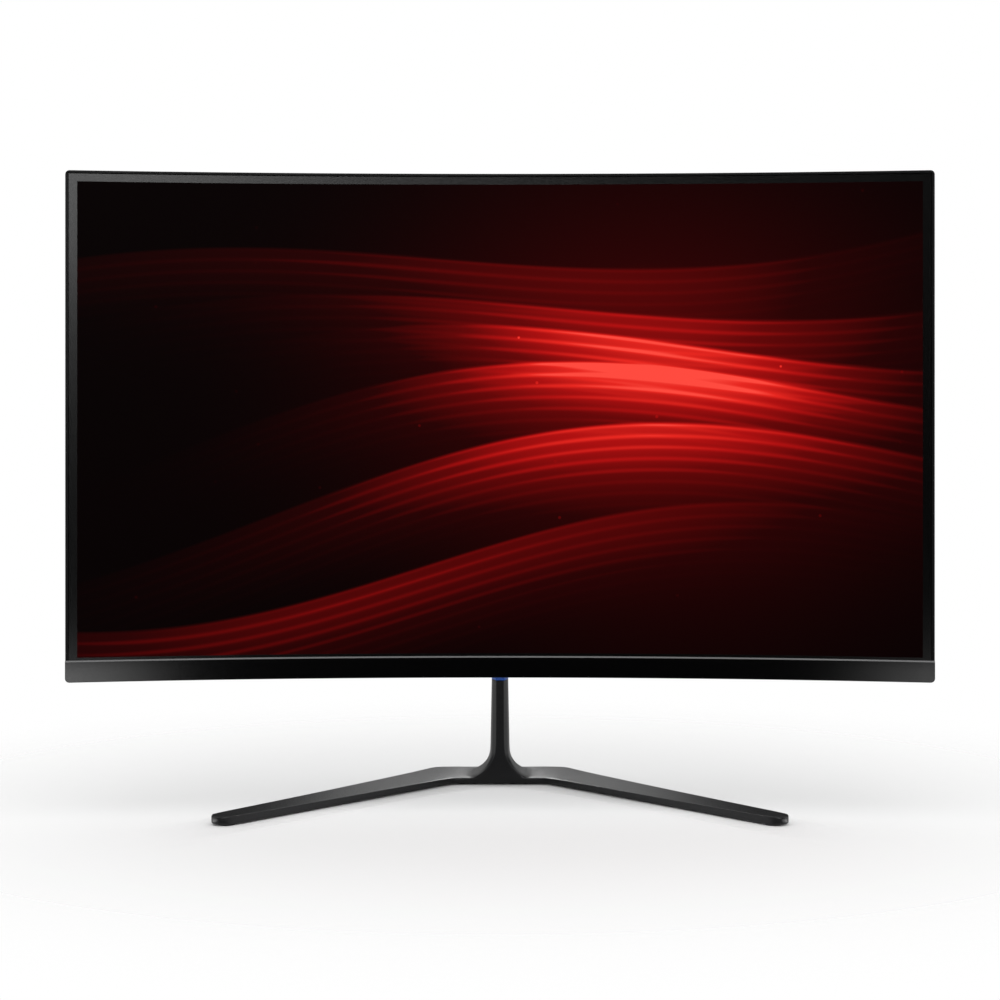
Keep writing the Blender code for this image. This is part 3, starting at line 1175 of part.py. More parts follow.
def build_controls(head, place):
    """The control board with its switch and joystick, and the pieces that a finger moves."""
    turn = place.to_euler().z
    board_face = -CONTROL_BOARD_DEPTH
    reach = CONTROL_BOARD_LENGTH / 2
    board = slab((BUTTON_OFFSET / 2 - reach, BUTTON_OFFSET / 2 + reach),
                 (board_face - CONTROL_BOARD_SHEET, board_face), centred(CONTROL_BOARD_WIDTH))
    finish(moved(board, place), "control_board", BOARD_GREEN, head)

    seat = board_face + CLEARANCE
    half = SWITCH_SIZE / 2
    switch_top = seat + SWITCH_HEIGHT
    nub_top = switch_top + SWITCH_NUB_PROUD
    switch = slab((BUTTON_OFFSET - half, BUTTON_OFFSET + half), (seat, switch_top), centred(SWITCH_SIZE))
    nub_foot = (BUTTON_OFFSET, seat + SWITCH_HEIGHT / 2, 0)
    join(switch, rod(SWITCH_NUB, nub_foot, (BUTTON_OFFSET, nub_top, 0), 12))
    finish(moved(switch, place), "power_switch", SWITCH_BLACK, head)

    flange_top = -COVER_WALL - BUTTON_FLANGE_GAP
    shelf = flange_top - COVER_WALL / 2
    stem = nub_top + BUTTON_TRAVEL + CLEARANCE
    button = [
        (0.0, BUTTON_PROUD),
        (BUTTON_RADIUS - BUTTON_CHAMFER, BUTTON_PROUD),
        (BUTTON_RADIUS, BUTTON_PROUD - BUTTON_CHAMFER),
        (BUTTON_RADIUS, flange_top),
        (BUTTON_FLANGE, flange_top),
        (BUTTON_FLANGE, shelf),
        (SWITCH_NUB, shelf),
        (SWITCH_NUB, stem),
        (0.0, stem),
    ]
    button_empty = axis_empty("power_button_axis", place @ Vector((BUTTON_OFFSET, 0, 0)), turn, head)
    cap = turned(button, (BUTTON_OFFSET, 0, 0), (0, 1, 0), 20)
    finish(moved(cap, place), "power_button", SWITCH_BLACK, button_empty)

    outer, wall = STICK_BODY / 2, STICK_BODY_WALL
    pocket = outer - wall
    top = -STICK_PIVOT + YOKE_THICKNESS
    housing = slab((-outer, outer), (seat, top), (-outer, outer))
    cut(housing, slab((-pocket, pocket), (seat + wall / 2, top + wall), (-pocket, pocket)))
    cut(housing, rod(STICK_PIN + CLEARANCE, (-2 * outer, -STICK_PIVOT, 0), (2 * outer, -STICK_PIVOT, 0), 12))
    finish(moved(housing, place), "joystick_housing", SWITCH_BLACK, head)

    half_yoke = YOKE_THICKNESS / 2
    level = (-STICK_PIVOT - half_yoke, -STICK_PIVOT + half_yoke)
    yoke = slab(centred(YOKE_LENGTH), level, centred(YOKE_WIDTH))
    cut(yoke, slab(centred(YOKE_LENGTH - 2 * YOKE_END), (level[0] - YOKE_BAR, level[1] + YOKE_BAR),
                   centred(YOKE_WIDTH - 2 * YOKE_BAR)))
    pin_end = outer - wall / 3
    for side in (-1, 1):
        join(yoke, rod(STICK_PIN, (side * (YOKE_LENGTH / 2 - YOKE_BAR), -STICK_PIVOT, 0),
                       (side * pin_end, -STICK_PIVOT, 0), 12))
    cross = (0, -STICK_PIVOT, YOKE_WIDTH)
    cut(yoke, rod(STICK_CROSS_PIN + CLEARANCE, (0, -STICK_PIVOT, -YOKE_WIDTH), cross, 12))
    pivot = place @ Vector((0, -STICK_PIVOT, 0))
    yoke_empty = axis_empty("joystick_yoke_axis", pivot, turn, head)
    finish(moved(yoke, place), "joystick_yoke", SWITCH_BLACK, yoke_empty)

    stick = rod(STICK_STEM, (0, -STICK_PIVOT - YOKE_THICKNESS, 0), (0, STICK_STEM_PROUD, 0), 12)
    join(stick, rod(STICK_CROSS_PIN, (0, -STICK_PIVOT, CLEARANCE - YOKE_WIDTH / 2),
                    (0, -STICK_PIVOT, YOKE_WIDTH / 2 - CLEARANCE), 12))
    stem_empty = axis_empty("joystick_stem_axis", pivot, turn, yoke_empty)
    finish(moved(stick, place), "joystick_stem", SWITCH_BLACK, stem_empty)

    rim, bore = STICK_CAP_RADIUS, STICK_STEM + CLEARANCE
    hub_roof = STICK_STEM_PROUD + STICK_CAP_TRAVEL + CLEARANCE
    rings = 3
    dish = [((rim - STICK_CAP_EDGE) * k / rings, STICK_CAP_PROUD - STICK_CAP_DISH * (1 - (k / rings) ** 2))
            for k in range(rings + 1)]
    mushroom = dish + [
        (rim, STICK_CAP_PROUD - STICK_CAP_EDGE),
        (rim, 0.0),
        (bore, 0.0),
        (bore, hub_roof),
        (0.0, hub_roof),
    ]
    cap_empty = axis_empty("joystick_cap_axis", place.translation, turn, stem_empty)
    finish(moved(turned(mushroom, (0, 0, 0), (0, 1, 0), 20), place), "joystick_cap", SWITCH_BLACK, cap_empty)

    cable_start = place @ Vector((BUTTON_OFFSET / 2 - reach + CABLE_RADIUS, 0, 0))
    start_y = (place @ Vector((0, board_face + CLEARANCE + CABLE_RADIUS, 0))).y - place.translation.y
    route = [
        (cable_start.x, cable_start.y + start_y, cable_start.z),
        *[(x, FRONT + depth, HEAD_BOTTOM + up) for x, depth, up in CABLE_TO_SHIELD],
        (SHIELD_SIDE, FRONT + CABLE_GAP_DEPTH, SHIELD_BOTTOM + 1.5 * SHIELD_INSET),
        *[(x, FRONT + depth, HEAD_BOTTOM + up) for x, depth, up in CABLE_TO_BOARD],
        (BOARD_RIGHT + CABLE_RADIUS + CLEARANCE, BOARD_BACK - BOARD_THICKNESS / 2, HEAD_BOTTOM + CABLE_END),
    ]
    finish(cable(route), "control_cable", CABLE_GREY, head)


def cable(route):
    """A thin round cable through the points of a route."""
    curve = bpy.data.curves.new("cable", "CURVE")
    curve.dimensions = "3D"
    curve.bevel_depth = CABLE_RADIUS
    curve.bevel_resolution = 1
    curve.use_fill_caps = True
    spline = curve.splines.new("POLY")
    spline.points.add(len(route) - 1)
    for point, place in zip(spline.points, route):
        point.co = (*place, 1.0)
    drawn = bpy.data.objects.new("cable", curve)
    CUTTERS.objects.link(drawn)
    graph = bpy.context.evaluated_depsgraph_get()
    mesh = bpy.data.meshes.new_from_object(drawn.evaluated_get(graph))
    bpy.data.objects.remove(drawn, do_unlink=True)
    bm = bmesh.new()
    bm.from_mesh(mesh)
    bpy.data.meshes.remove(mesh)
    bmesh.ops.remove_doubles(bm, verts=bm.verts, dist=MERGE)
    return solid("cable", bm)


def build():
    """Build the stand, then the head around the empty on the hinge axis."""
    build_stand()
    head = axis_empty("head_tilt_axis", (0.0, HINGE_Y, HINGE_Z))
    controls = control_frame()
    build_hinge(head)
    build_screen(head)
    build_cover(head, port_slots(), controls)
    build_mount(head)
    build_ports(head)
    build_electronics(head)
    build_controls(head, controls)


build()
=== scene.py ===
"""Looks of a curved desktop monitor on a V stand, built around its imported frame.

Everything is in metres, in the frame's own axes: +Z up and the screen facing -Y. Each sub-assembly is a
class that models its pieces in edit mode, dresses them with a finish and lets them ride on a body.
"""

from __future__ import annotations

import json
import logging
import math
from dataclasses import dataclass, field
from enum import Enum
from typing import Any, Callable, Sequence

import bmesh
import bpy
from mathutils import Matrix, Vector


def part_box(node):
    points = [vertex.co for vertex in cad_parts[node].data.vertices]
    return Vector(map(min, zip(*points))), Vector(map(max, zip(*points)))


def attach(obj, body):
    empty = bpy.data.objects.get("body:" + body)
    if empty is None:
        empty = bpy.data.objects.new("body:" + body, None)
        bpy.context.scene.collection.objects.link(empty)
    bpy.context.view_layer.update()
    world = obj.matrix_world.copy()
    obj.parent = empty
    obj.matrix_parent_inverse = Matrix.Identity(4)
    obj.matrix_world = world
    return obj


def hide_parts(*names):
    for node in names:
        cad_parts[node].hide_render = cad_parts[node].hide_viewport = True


LOG = logging.getLogger("curved_monitor")

# Two points this near are one place, and points nearer than the second distance are merged.
NEAR = 0.00002
MERGE = 0.000002
# Faces of a copied node that meet at less than this angle become one.
FLATNESS = math.radians(0.5)
# A face looks along an axis when its normal has more than the first share of it, is upright when its normal
# has less than the second share of the vertical, and looks sideways with more than the third share of X.
FACING = 0.9
UPRIGHT = 0.3
SIDEWAYS = 0.5
# Steps of a rounded corner seen from the front and of a turned edge.
CORNER_STEPS = 6
EDGE_STEPS = 4
# Nearly all values of a noise lie between these two.
NOISE_LOW = 0.3
NOISE_HIGH = 0.7
# Colour of the studio's background.
WHITE = (1.0, 1.0, 1.0, 1.0)

Colour = tuple[float, float, float]
Pair = tuple[float, float]
Point = Sequence[float]
Socket = bpy.types.NodeSocket


class Body(str, Enum):
    """The bodies of the frame that pieces ride on."""

    STAND = "stand"
    HEAD = "head"
    POWER_BUTTON = "power_button"
    JOYSTICK_YOKE = "joystick_yoke"
    JOYSTICK_STEM = "joystick_stem"
    JOYSTICK_CAP = "joystick_cap"


class Slot(str, Enum):
    """The record's material slots."""

    MOULDED_BLACK = "moulded_black"
    GLOSS_BLACK = "gloss_black"
    STAND_BLACK = "stand_black"
    COLLAR_BLUE = "collar_blue"
    PANEL_GLASS = "panel_glass"
    FILM_WHITE = "film_white"
    GUIDE_CLEAR = "guide_clear"
    SHEET_STEEL = "sheet_steel"
    DARK_STEEL = "dark_steel"
    BOARD_GREEN = "board_green"
    SWITCH_BLACK = "switch_black"
    RUBBER = "rubber"
    CABLE_GREY = "cable_grey"


class ShaderSheet:
    """The node tree of one material, with short ways to add what a finish needs."""

    def __init__(self, name: str) -> None:
        """Make an empty material with its Principled shader.

        Args:
            name: Name of the material.
        """
        self.material = bpy.data.materials.new(name)
        self.material.use_nodes = True
        self.nodes = self.material.node_tree.nodes
        self.links = self.material.node_tree.links
        self.shader = self.nodes["Principled BSDF"]
        self._place: Any = None

    def node(self, kind: str, **settings: Any) -> bpy.types.Node:
        """Add a node.

        Args:
            kind: Type name of the node.
            settings: Values of the node's own properties.

        Returns:
            The new node.
        """
        made = self.nodes.new(kind)
        for name, value in settings.items():
            setattr(made, name, value)
        return made

    def feed(self, socket: Socket, value: Any) -> None:
        """Link a socket to another, or set its value.

        Args:
            socket: The socket that is fed.
            value: Another socket, or a plain value.
        """
        if isinstance(value, Socket):
            self.links.new(value, socket)
        else:
            socket.default_value = value

    def shade(self, **values: Any) -> None:
        """Set sockets of the Principled shader, named with underscores for spaces."""
        for name, value in values.items():
            self.feed(self.shader.inputs[name.replace("_", " ")], value)

    def place(self) -> Socket:
        """Where a point of the piece is.

        Returns:
            The Object coordinates, from a node that is made on first use.
        """
        if self._place is None:
            self._place = self.node("ShaderNodeTexCoord").outputs["Object"]
        return self._place

    def axes(self) -> tuple[Socket, Socket, Socket]:
        """Where a point of the piece is, axis by axis.

        Returns:
            The Object coordinates x, y and z.
        """
        split = self.node("ShaderNodeSeparateXYZ")
        self.feed(split.inputs[0], self.place())
        return split.outputs[0], split.outputs[1], split.outputs[2]

    def stretched(self, scale: Point) -> Socket:
        """Object coordinates stretched along the axes.

        Args:
            scale: Factor along each axis.

        Returns:
            The stretched coordinates.
        """
        mapping = self.node("ShaderNodeMapping")
        self.feed(mapping.inputs["Vector"], self.place())
        mapping.inputs["Scale"].default_value = scale
        return mapping.outputs[0]

    def sums(self, operation: str, *values: Any) -> Socket:
        """One step of arithmetic.

        Args:
            operation: Name of the operation.
            values: Sockets or numbers that it takes.

        Returns:
            The result.
        """
        made = self.node("ShaderNodeMath", operation=operation)
        for socket, value in zip(made.inputs, values):
            self.feed(socket, value)
        return made.outputs[0]

    def fade(self, value: Any, start: float, end: float, low: float = 0.0, high: float = 1.0) -> Socket:
        """A smooth step.

        Args:
            value: What the step runs along.
            start: Where it starts.
            end: Where it ends.
            low: Result at the start and before it.
            high: Result at the end and after it.

        Returns:
            The result.
        """
        made = self.node("ShaderNodeMapRange", interpolation_type="SMOOTHSTEP")
        for socket, number in zip(made.inputs, (value, start, end, low, high)):
            self.feed(socket, number)
        return made.outputs[0]

    def noise(self, scale: float, detail: float = 2.0, place: Any = None) -> Socket:
        """Cloudy noise.

        Args:
            scale: Number of clouds per metre.
            detail: Number of finer layers.
            place: Coordinates, if not the plain Object coordinates.

        Returns:
            The noise, from 0 to 1.
        """
        made = self.node("ShaderNodeTexNoise")
        self.feed(made.inputs["Vector"], place if place is not None else self.place())
        made.inputs["Scale"].default_value = scale
        made.inputs["Detail"].default_value = detail
        return made.outputs[0]

    def cells(self, scale: float) -> bpy.types.Node:
        """Cells round scattered points.

        Args:
            scale: Number of cells per metre.

        Returns:
            The Voronoi node.
        """
        made = self.node("ShaderNodeTexVoronoi")
        self.feed(made.inputs["Vector"], self.place())
        made.inputs["Scale"].default_value = scale
        return made

    def ramp(self, value: Any, stops: Sequence[tuple[float, Colour]]) -> Socket:
        """Colours along a value.

        Args:
            value: What runs along the ramp.
            stops: Places and colours.

        Returns:
            The colour.
        """
        made = self.node("ShaderNodeValToRGB")
        band = made.color_ramp.elements
        while len(band) < len(stops):
            band.new(0.5)
        for element, (place, colour) in zip(band, stops):
            element.position = place
            element.color = (*colour, 1.0)
        self.feed(made.inputs[0], value)
        return made.outputs[0]

    def between(self, value: Any, low: Colour, high: Colour) -> Socket:
        """A colour between two, by a value from 0 to 1."""
        return self.ramp(value, ((0.0, low), (1.0, high)))

    def emboss(self, height: Any, depth: float) -> None:
        """Bump the surface.

        Args:
            height: Height of the relief, from 0 to 1.
            depth: Depth of the relief in metres.
        """
        made = self.node("ShaderNodeBump")
        made.inputs["Strength"].default_value = 1.0
        made.inputs["Distance"].default_value = depth
        self.feed(made.inputs["Height"], height)
        self.feed(self.shader.inputs["Normal"], made.outputs[0])


@dataclass(frozen=True)
class Finish:
    """A surface finish that is built once, as a material, and shared by its pieces.

    Its grain and clouds are counted per metre, and the depth of its grain is in metres.
    """

    name: str
    colour: Colour
    roughness: float = 0.5
    metallic: float = 0.0
    specular: float = 0.5
    grain: float = 900.0
    depth: float = 0.00002
    mottle: float = 0.06
    spread: float = 0.05
    clouds: float = 25.0
    detail: float = 3.0

    def build(self) -> bpy.types.Material:
        """The finish as a material.

        Returns:
            The material, made on first use.
        """
        made = bpy.data.materials.get(self.name)
        if made is None:
            sheet = ShaderSheet(self.name)
            sheet.shade(Metallic=self.metallic, Specular_IOR_Level=self.specular)
            self.paint(sheet)
            made = sheet.material
        return made

    def paint(self, sheet: ShaderSheet) -> None:
        """Lay the finish's pattern on a sheet: here a fine even grain."""
        self.lay(sheet, sheet.noise(self.grain, self.detail))

    def lay(self, sheet: ShaderSheet, relief: Any) -> None:
        """Lay a relief on a sheet, over a faintly clouded colour.

        Args:
            sheet: The sheet of the finish's material.
            relief: Height of the relief, from 0 to 1. Its high spots are duller.
        """
        cloud = sheet.noise(self.clouds, self.detail)
        sheet.shade(Base_Color=self.mottled(sheet, cloud))
        sheet.shade(Roughness=self.dulled(sheet, relief, NOISE_LOW, NOISE_HIGH))
        sheet.emboss(relief, self.depth)

    def dulled(self, sheet: ShaderSheet, relief: Any, low: float, high: float) -> Socket:
        """The roughness, which grows while a relief goes from low to high."""
        return sheet.fade(relief, low, high, self.roughness - self.spread, self.roughness + self.spread)

    def mottled(self, sheet: ShaderSheet, cloud: Any) -> Socket:
        """The colour with a faint cloudy variation."""
        low, high = ([part * (1 + side * self.mottle) for part in self.colour] for side in (-1, 1))
        return sheet.between(sheet.fade(cloud, NOISE_LOW, NOISE_HIGH), tuple(low), tuple(high))


@dataclass(frozen=True)
class SparkedPlastic(Finish):
    """Moulded plastic with the pebbled texture of a spark-eroded mould."""

    spread: float = 0.06
    clouds: float = 18.0
    detail: float = 4.0
    pebble: float = 0.8
    fineness: float = 3.0
    fine_share: float = 0.4

    def paint(self, sheet: ShaderSheet) -> None:
        """Lay rounded pebbles over a fine grain.

        Args:
            sheet: The sheet of the finish's material.
        """
        pebbles = sheet.cells(self.grain).outputs["Distance"]
        fine = sheet.noise(self.fineness * self.grain)
        relief = sheet.sums("ADD", pebbles, sheet.sums("MULTIPLY", fine, self.fine_share))
        cloud = sheet.noise(self.clouds, self.detail)
        sheet.shade(Base_Color=self.mottled(sheet, cloud))
        sheet.shade(Roughness=self.dulled(sheet, pebbles, 0.0, self.pebble))
        sheet.emboss(relief, self.depth)


@dataclass(frozen=True)
class BrushedMetal(Finish):
    """Rolled or brushed metal, with fine lines along X."""

    clouds: float = 60.0
    stretch: tuple[float, float, float] = (0.04, 1.0, 1.0)

    def paint(self, sheet: ShaderSheet) -> None:
        """Lay fine lines."""
        self.lay(sheet, sheet.noise(self.grain, self.detail, sheet.stretched(self.stretch)))


@dataclass(frozen=True)
class CircuitBoard(Finish):
    """Solder resist over copper tracks."""

    tracks: float = 160.0
    track_width: float = 0.03
    track_offset: float = 0.37
    pads: float = 420.0
    pad_edge: Pair = (0.16, 0.12)
    gain: float = 2.2
    lift: float = 0.01
    sheen: float = 0.12

    def paint(self, sheet: ShaderSheet) -> None:
        """Lay square-cornered tracks and pads under the resist.

        Args:
            sheet: The sheet of the finish's material.
        """
        tracks = sheet.node("ShaderNodeTexBrick", offset=self.track_offset)
        sheet.feed(tracks.inputs["Vector"], sheet.place())
        tracks.inputs["Scale"].default_value = self.tracks
        tracks.inputs["Mortar Size"].default_value = self.track_width
        pads = sheet.cells(self.pads).outputs["Distance"]
        light = sheet.sums("MAXIMUM", tracks.outputs["Fac"], sheet.fade(pads, *self.pad_edge))
        bright = tuple(min(1.0, part * self.gain + self.lift) for part in self.colour)
        sheet.shade(Base_Color=sheet.between(light, self.colour, bright))
        sheet.shade(Roughness=sheet.fade(light, 0.0, 1.0, self.roughness, self.roughness - self.sheen))
        sheet.emboss(light, self.depth)


@dataclass(frozen=True)
class Ribbon:
    """One fold of light in the picture on the screen, in half-widths and half-heights of the picture.

    Attributes:
        height: Height of its crest in the middle of the picture.
        slope: Rise of the crest to the right.
        swing: Height of the wave that the crest follows.
        waves: Turn of that wave along a half-width, in radians.
        phase: Turn of that wave in the middle of the picture, in radians.
        breadth: How far it reaches down from its crest.
        middle: Place along the picture where it is brightest.
        spread: How far it stays bright from there.
        level: Its brightness.
    """

    height: float
    slope: float
    swing: float
    waves: float
    phase: float
    breadth: float
    middle: float
    spread: float
    level: float


@dataclass(frozen=True)
class ScreenPicture(Finish):
    """The lit picture: folds of red light on black, seen through the panel's matt front."""

    half_width: float = 0.298
    half_height: float = 0.168
    centre: float = 0.281
    strands: float = 130.0
    fineness: float = 3.0
    ground: float = 0.62
    swell: float = 2.2
    crest: Pair = (0.004, 0.026)
    glow_across: Pair = (1.25, -0.45)
    glow_up: Pair = (0.85, -0.1)
    glow_fall: float = -2.2
    glow_level: float = 0.26
    spark_count: float = 70.0
    spark_edge: Pair = (0.10, 0.05)
    spark_choice: Pair = (0.72, 1.0)
    spark_level: float = 0.5
    spark_ground: float = 0.12
    stops: tuple[tuple[float, Colour], ...] = (
        (0.0, (0.0015, 0.0003, 0.0004)),
        (0.16, (0.022, 0.0006, 0.0008)),
        (0.38, (0.13, 0.0018, 0.002)),
        (0.62, (0.42, 0.005, 0.005)),
        (0.86, (0.80, 0.02, 0.014)),
        (1.0, (1.0, 0.07, 0.05)),
    )
    ribbons: tuple[Ribbon, ...] = (
        Ribbon(-0.62, 0.10, 0.20, 2.3, 0.4, 0.55, -0.35, 0.75, 0.42),
        Ribbon(-0.34, 0.16, 0.26, 2.0, 1.1, 0.50, 0.25, 0.62, 0.62),
        Ribbon(-0.08, 0.22, 0.30, 1.8, 1.7, 0.46, 0.34, 0.50, 0.78),
        Ribbon(0.16, 0.26, 0.30, 1.7, 2.3, 0.42, 0.42, 0.46, 0.66),
        Ribbon(0.42, 0.28, 0.26, 1.7, 2.9, 0.44, 0.30, 0.60, 0.40),
        Ribbon(0.70, 0.24, 0.20, 1.9, 3.4, 0.40, -0.10, 0.80, 0.24),
    )

    def paint(self, sheet: ShaderSheet) -> None:
        """Add up the folds, a wide glow and scattered sparks, and let them shine.

        Args:
            sheet: The sheet of the picture.
        """
        x, _, z = sheet.axes()
        across = sheet.sums("DIVIDE", x, self.half_width)
        up = sheet.sums("DIVIDE", sheet.sums("SUBTRACT", z, self.centre), self.half_height)
        light = self.glow(sheet, across, up)
        for ribbon in self.ribbons:
            light = sheet.sums("ADD", light, self.fold(sheet, ribbon, across, up))
        light = sheet.sums("ADD", light, self.sparks(sheet, light))
        sheet.shade(Base_Color=(*self.colour, 1.0), Roughness=self.roughness)
        sheet.shade(Emission_Color=sheet.ramp(light, self.stops), Emission_Strength=1.0)
        sheet.emboss(sheet.noise(self.grain), self.depth)

    def fold(self, sheet: ShaderSheet, ribbon: Ribbon, across: Any, up: Any) -> Socket:
        """One fold: it brightens slowly towards its crest and ends there at a crisp edge.

        Args:
            sheet: The sheet of the picture.
            ribbon: The fold.
            across: Place along the picture, in half-widths.
            up: Place up the picture, in half-heights.

        Returns:
            The light of the fold.
        """
        wave = sheet.sums("SINE", sheet.sums("MULTIPLY_ADD", across, ribbon.waves, ribbon.phase))
        rise = sheet.sums("MULTIPLY_ADD", across, ribbon.slope, ribbon.height)
        crest = sheet.sums("MULTIPLY_ADD", wave, ribbon.swing, rise)
        below = sheet.sums("SUBTRACT", up, crest)
        body = sheet.sums("POWER", sheet.fade(below, -ribbon.breadth, 0.0), self.swell)
        edge = sheet.fade(below, *self.crest, 1.0, 0.0)
        far = sheet.sums("DIVIDE", sheet.sums("SUBTRACT", across, ribbon.middle), ribbon.spread)
        along = sheet.sums("EXPONENT", sheet.sums("MULTIPLY", sheet.sums("MULTIPLY", far, far), -1.0))
        lit = sheet.sums("MULTIPLY", sheet.sums("MULTIPLY", body, edge), along)
        strands = sheet.sums("SINE", sheet.sums("MULTIPLY_ADD", below, self.strands, across))
        fine = sheet.sums("POWER", sheet.sums("MULTIPLY_ADD", strands, 0.5, 0.5), self.fineness)
        lit = sheet.sums("MULTIPLY", lit, sheet.sums("MULTIPLY_ADD", fine, 1 - self.ground, self.ground))
        return sheet.sums("MULTIPLY", lit, ribbon.level)

    def glow(self, sheet: ShaderSheet, across: Any, up: Any) -> Socket:
        """A wide soft glow behind the folds.

        Args:
            sheet: The sheet of the picture.
            across: Place along the picture, in half-widths.
            up: Place up the picture, in half-heights.

        Returns:
            The light of the glow.
        """
        side = sheet.sums("MULTIPLY_ADD", across, *self.glow_across)
        rise = sheet.sums("MULTIPLY_ADD", up, *self.glow_up)
        square = sheet.sums("ADD", sheet.sums("MULTIPLY", side, side), sheet.sums("MULTIPLY", rise, rise))
        fall = sheet.sums("EXPONENT", sheet.sums("MULTIPLY", square, self.glow_fall))
        return sheet.sums("MULTIPLY", fall, self.glow_level)

    def sparks(self, sheet: ShaderSheet, light: Any) -> Socket:
        """Small round sparks of differing strength, brighter where the picture is lit.

        Args:
            sheet: The sheet of the picture.
            light: The light of the picture without sparks.

        Returns:
            The light of the sparks.
        """
        dots = sheet.cells(self.spark_count)
        disc = sheet.fade(dots.outputs["Distance"], *self.spark_edge)
        own = sheet.node("ShaderNodeSeparateColor")
        sheet.feed(own.inputs[0], dots.outputs["Color"])
        chosen = sheet.fade(own.outputs[0], *self.spark_choice)
        strength = sheet.sums("MULTIPLY", sheet.sums("MULTIPLY", disc, chosen), self.spark_level)
        return sheet.sums("MULTIPLY", strength, sheet.sums("ADD", light, self.spark_ground))


MOULDED = SparkedPlastic("moulded_plastic", (0.0125, 0.0125, 0.0135), 0.46, grain=1500.0, depth=0.00006)
RIM = Finish("rim_plastic", (0.003, 0.003, 0.0032), 0.42, specular=0.15, grain=2400.0)
CHIN = BrushedMetal("chin_gloss", (0.001, 0.001, 0.0011), 0.13, grain=3000.0, depth=0.000001, spread=0.02)
CHAMFER = Finish("cut_chamfer", (0.012, 0.012, 0.0125), 0.24, grain=3000.0, depth=0.000004)
SATIN = Finish("satin_paint", (0.011, 0.011, 0.0122), 0.31, specular=0.25, grain=2600.0, depth=0.00001)
BLUE = Finish("collar_plastic", (0.0145, 0.088, 0.42), 0.38, grain=1800.0)
BORDER = Finish("printed_border", (0.001, 0.001, 0.001), 0.22, specular=0.3, grain=3000.0, depth=0.000005)
PICTURE = ScreenPicture("screen_picture", (0.0004, 0.0004, 0.0004), 0.42, specular=0.01, grain=3000.0,
                        depth=0.000008)
STEEL = BrushedMetal("galvanised_sheet", (0.5, 0.5, 0.5), 0.36, metallic=1.0, grain=1200.0, spread=0.08)
BLACKENED = BrushedMetal("blackened_steel", (0.06, 0.06, 0.065), 0.4, metallic=1.0, grain=1600.0, spread=0.08)
BOARD = CircuitBoard("solder_resist", (0.01, 0.09, 0.04), 0.42)
SWITCH = Finish("switch_plastic", (0.02, 0.02, 0.021), 0.42, grain=2200.0)
RUBBER = SparkedPlastic("pad_rubber", (0.015, 0.015, 0.015), 0.85, specular=0.2, grain=1100.0)
FILM = Finish("diffuser_film", (0.8, 0.8, 0.78), 0.5, grain=1600.0)
GUIDE = Finish("clear_guide", (0.75, 0.8, 0.8), 0.1, grain=700.0, depth=0.000005)
SLEEVE = Finish("cable_sleeve", (0.2, 0.2, 0.2), 0.6, grain=1400.0)


def clear_bench() -> None:
    """Leave edit mode and deselect everything."""
    if bpy.context.object and bpy.context.object.mode != "OBJECT":
        bpy.ops.object.mode_set(mode="OBJECT")
    bpy.ops.object.select_all(action="DESELECT")


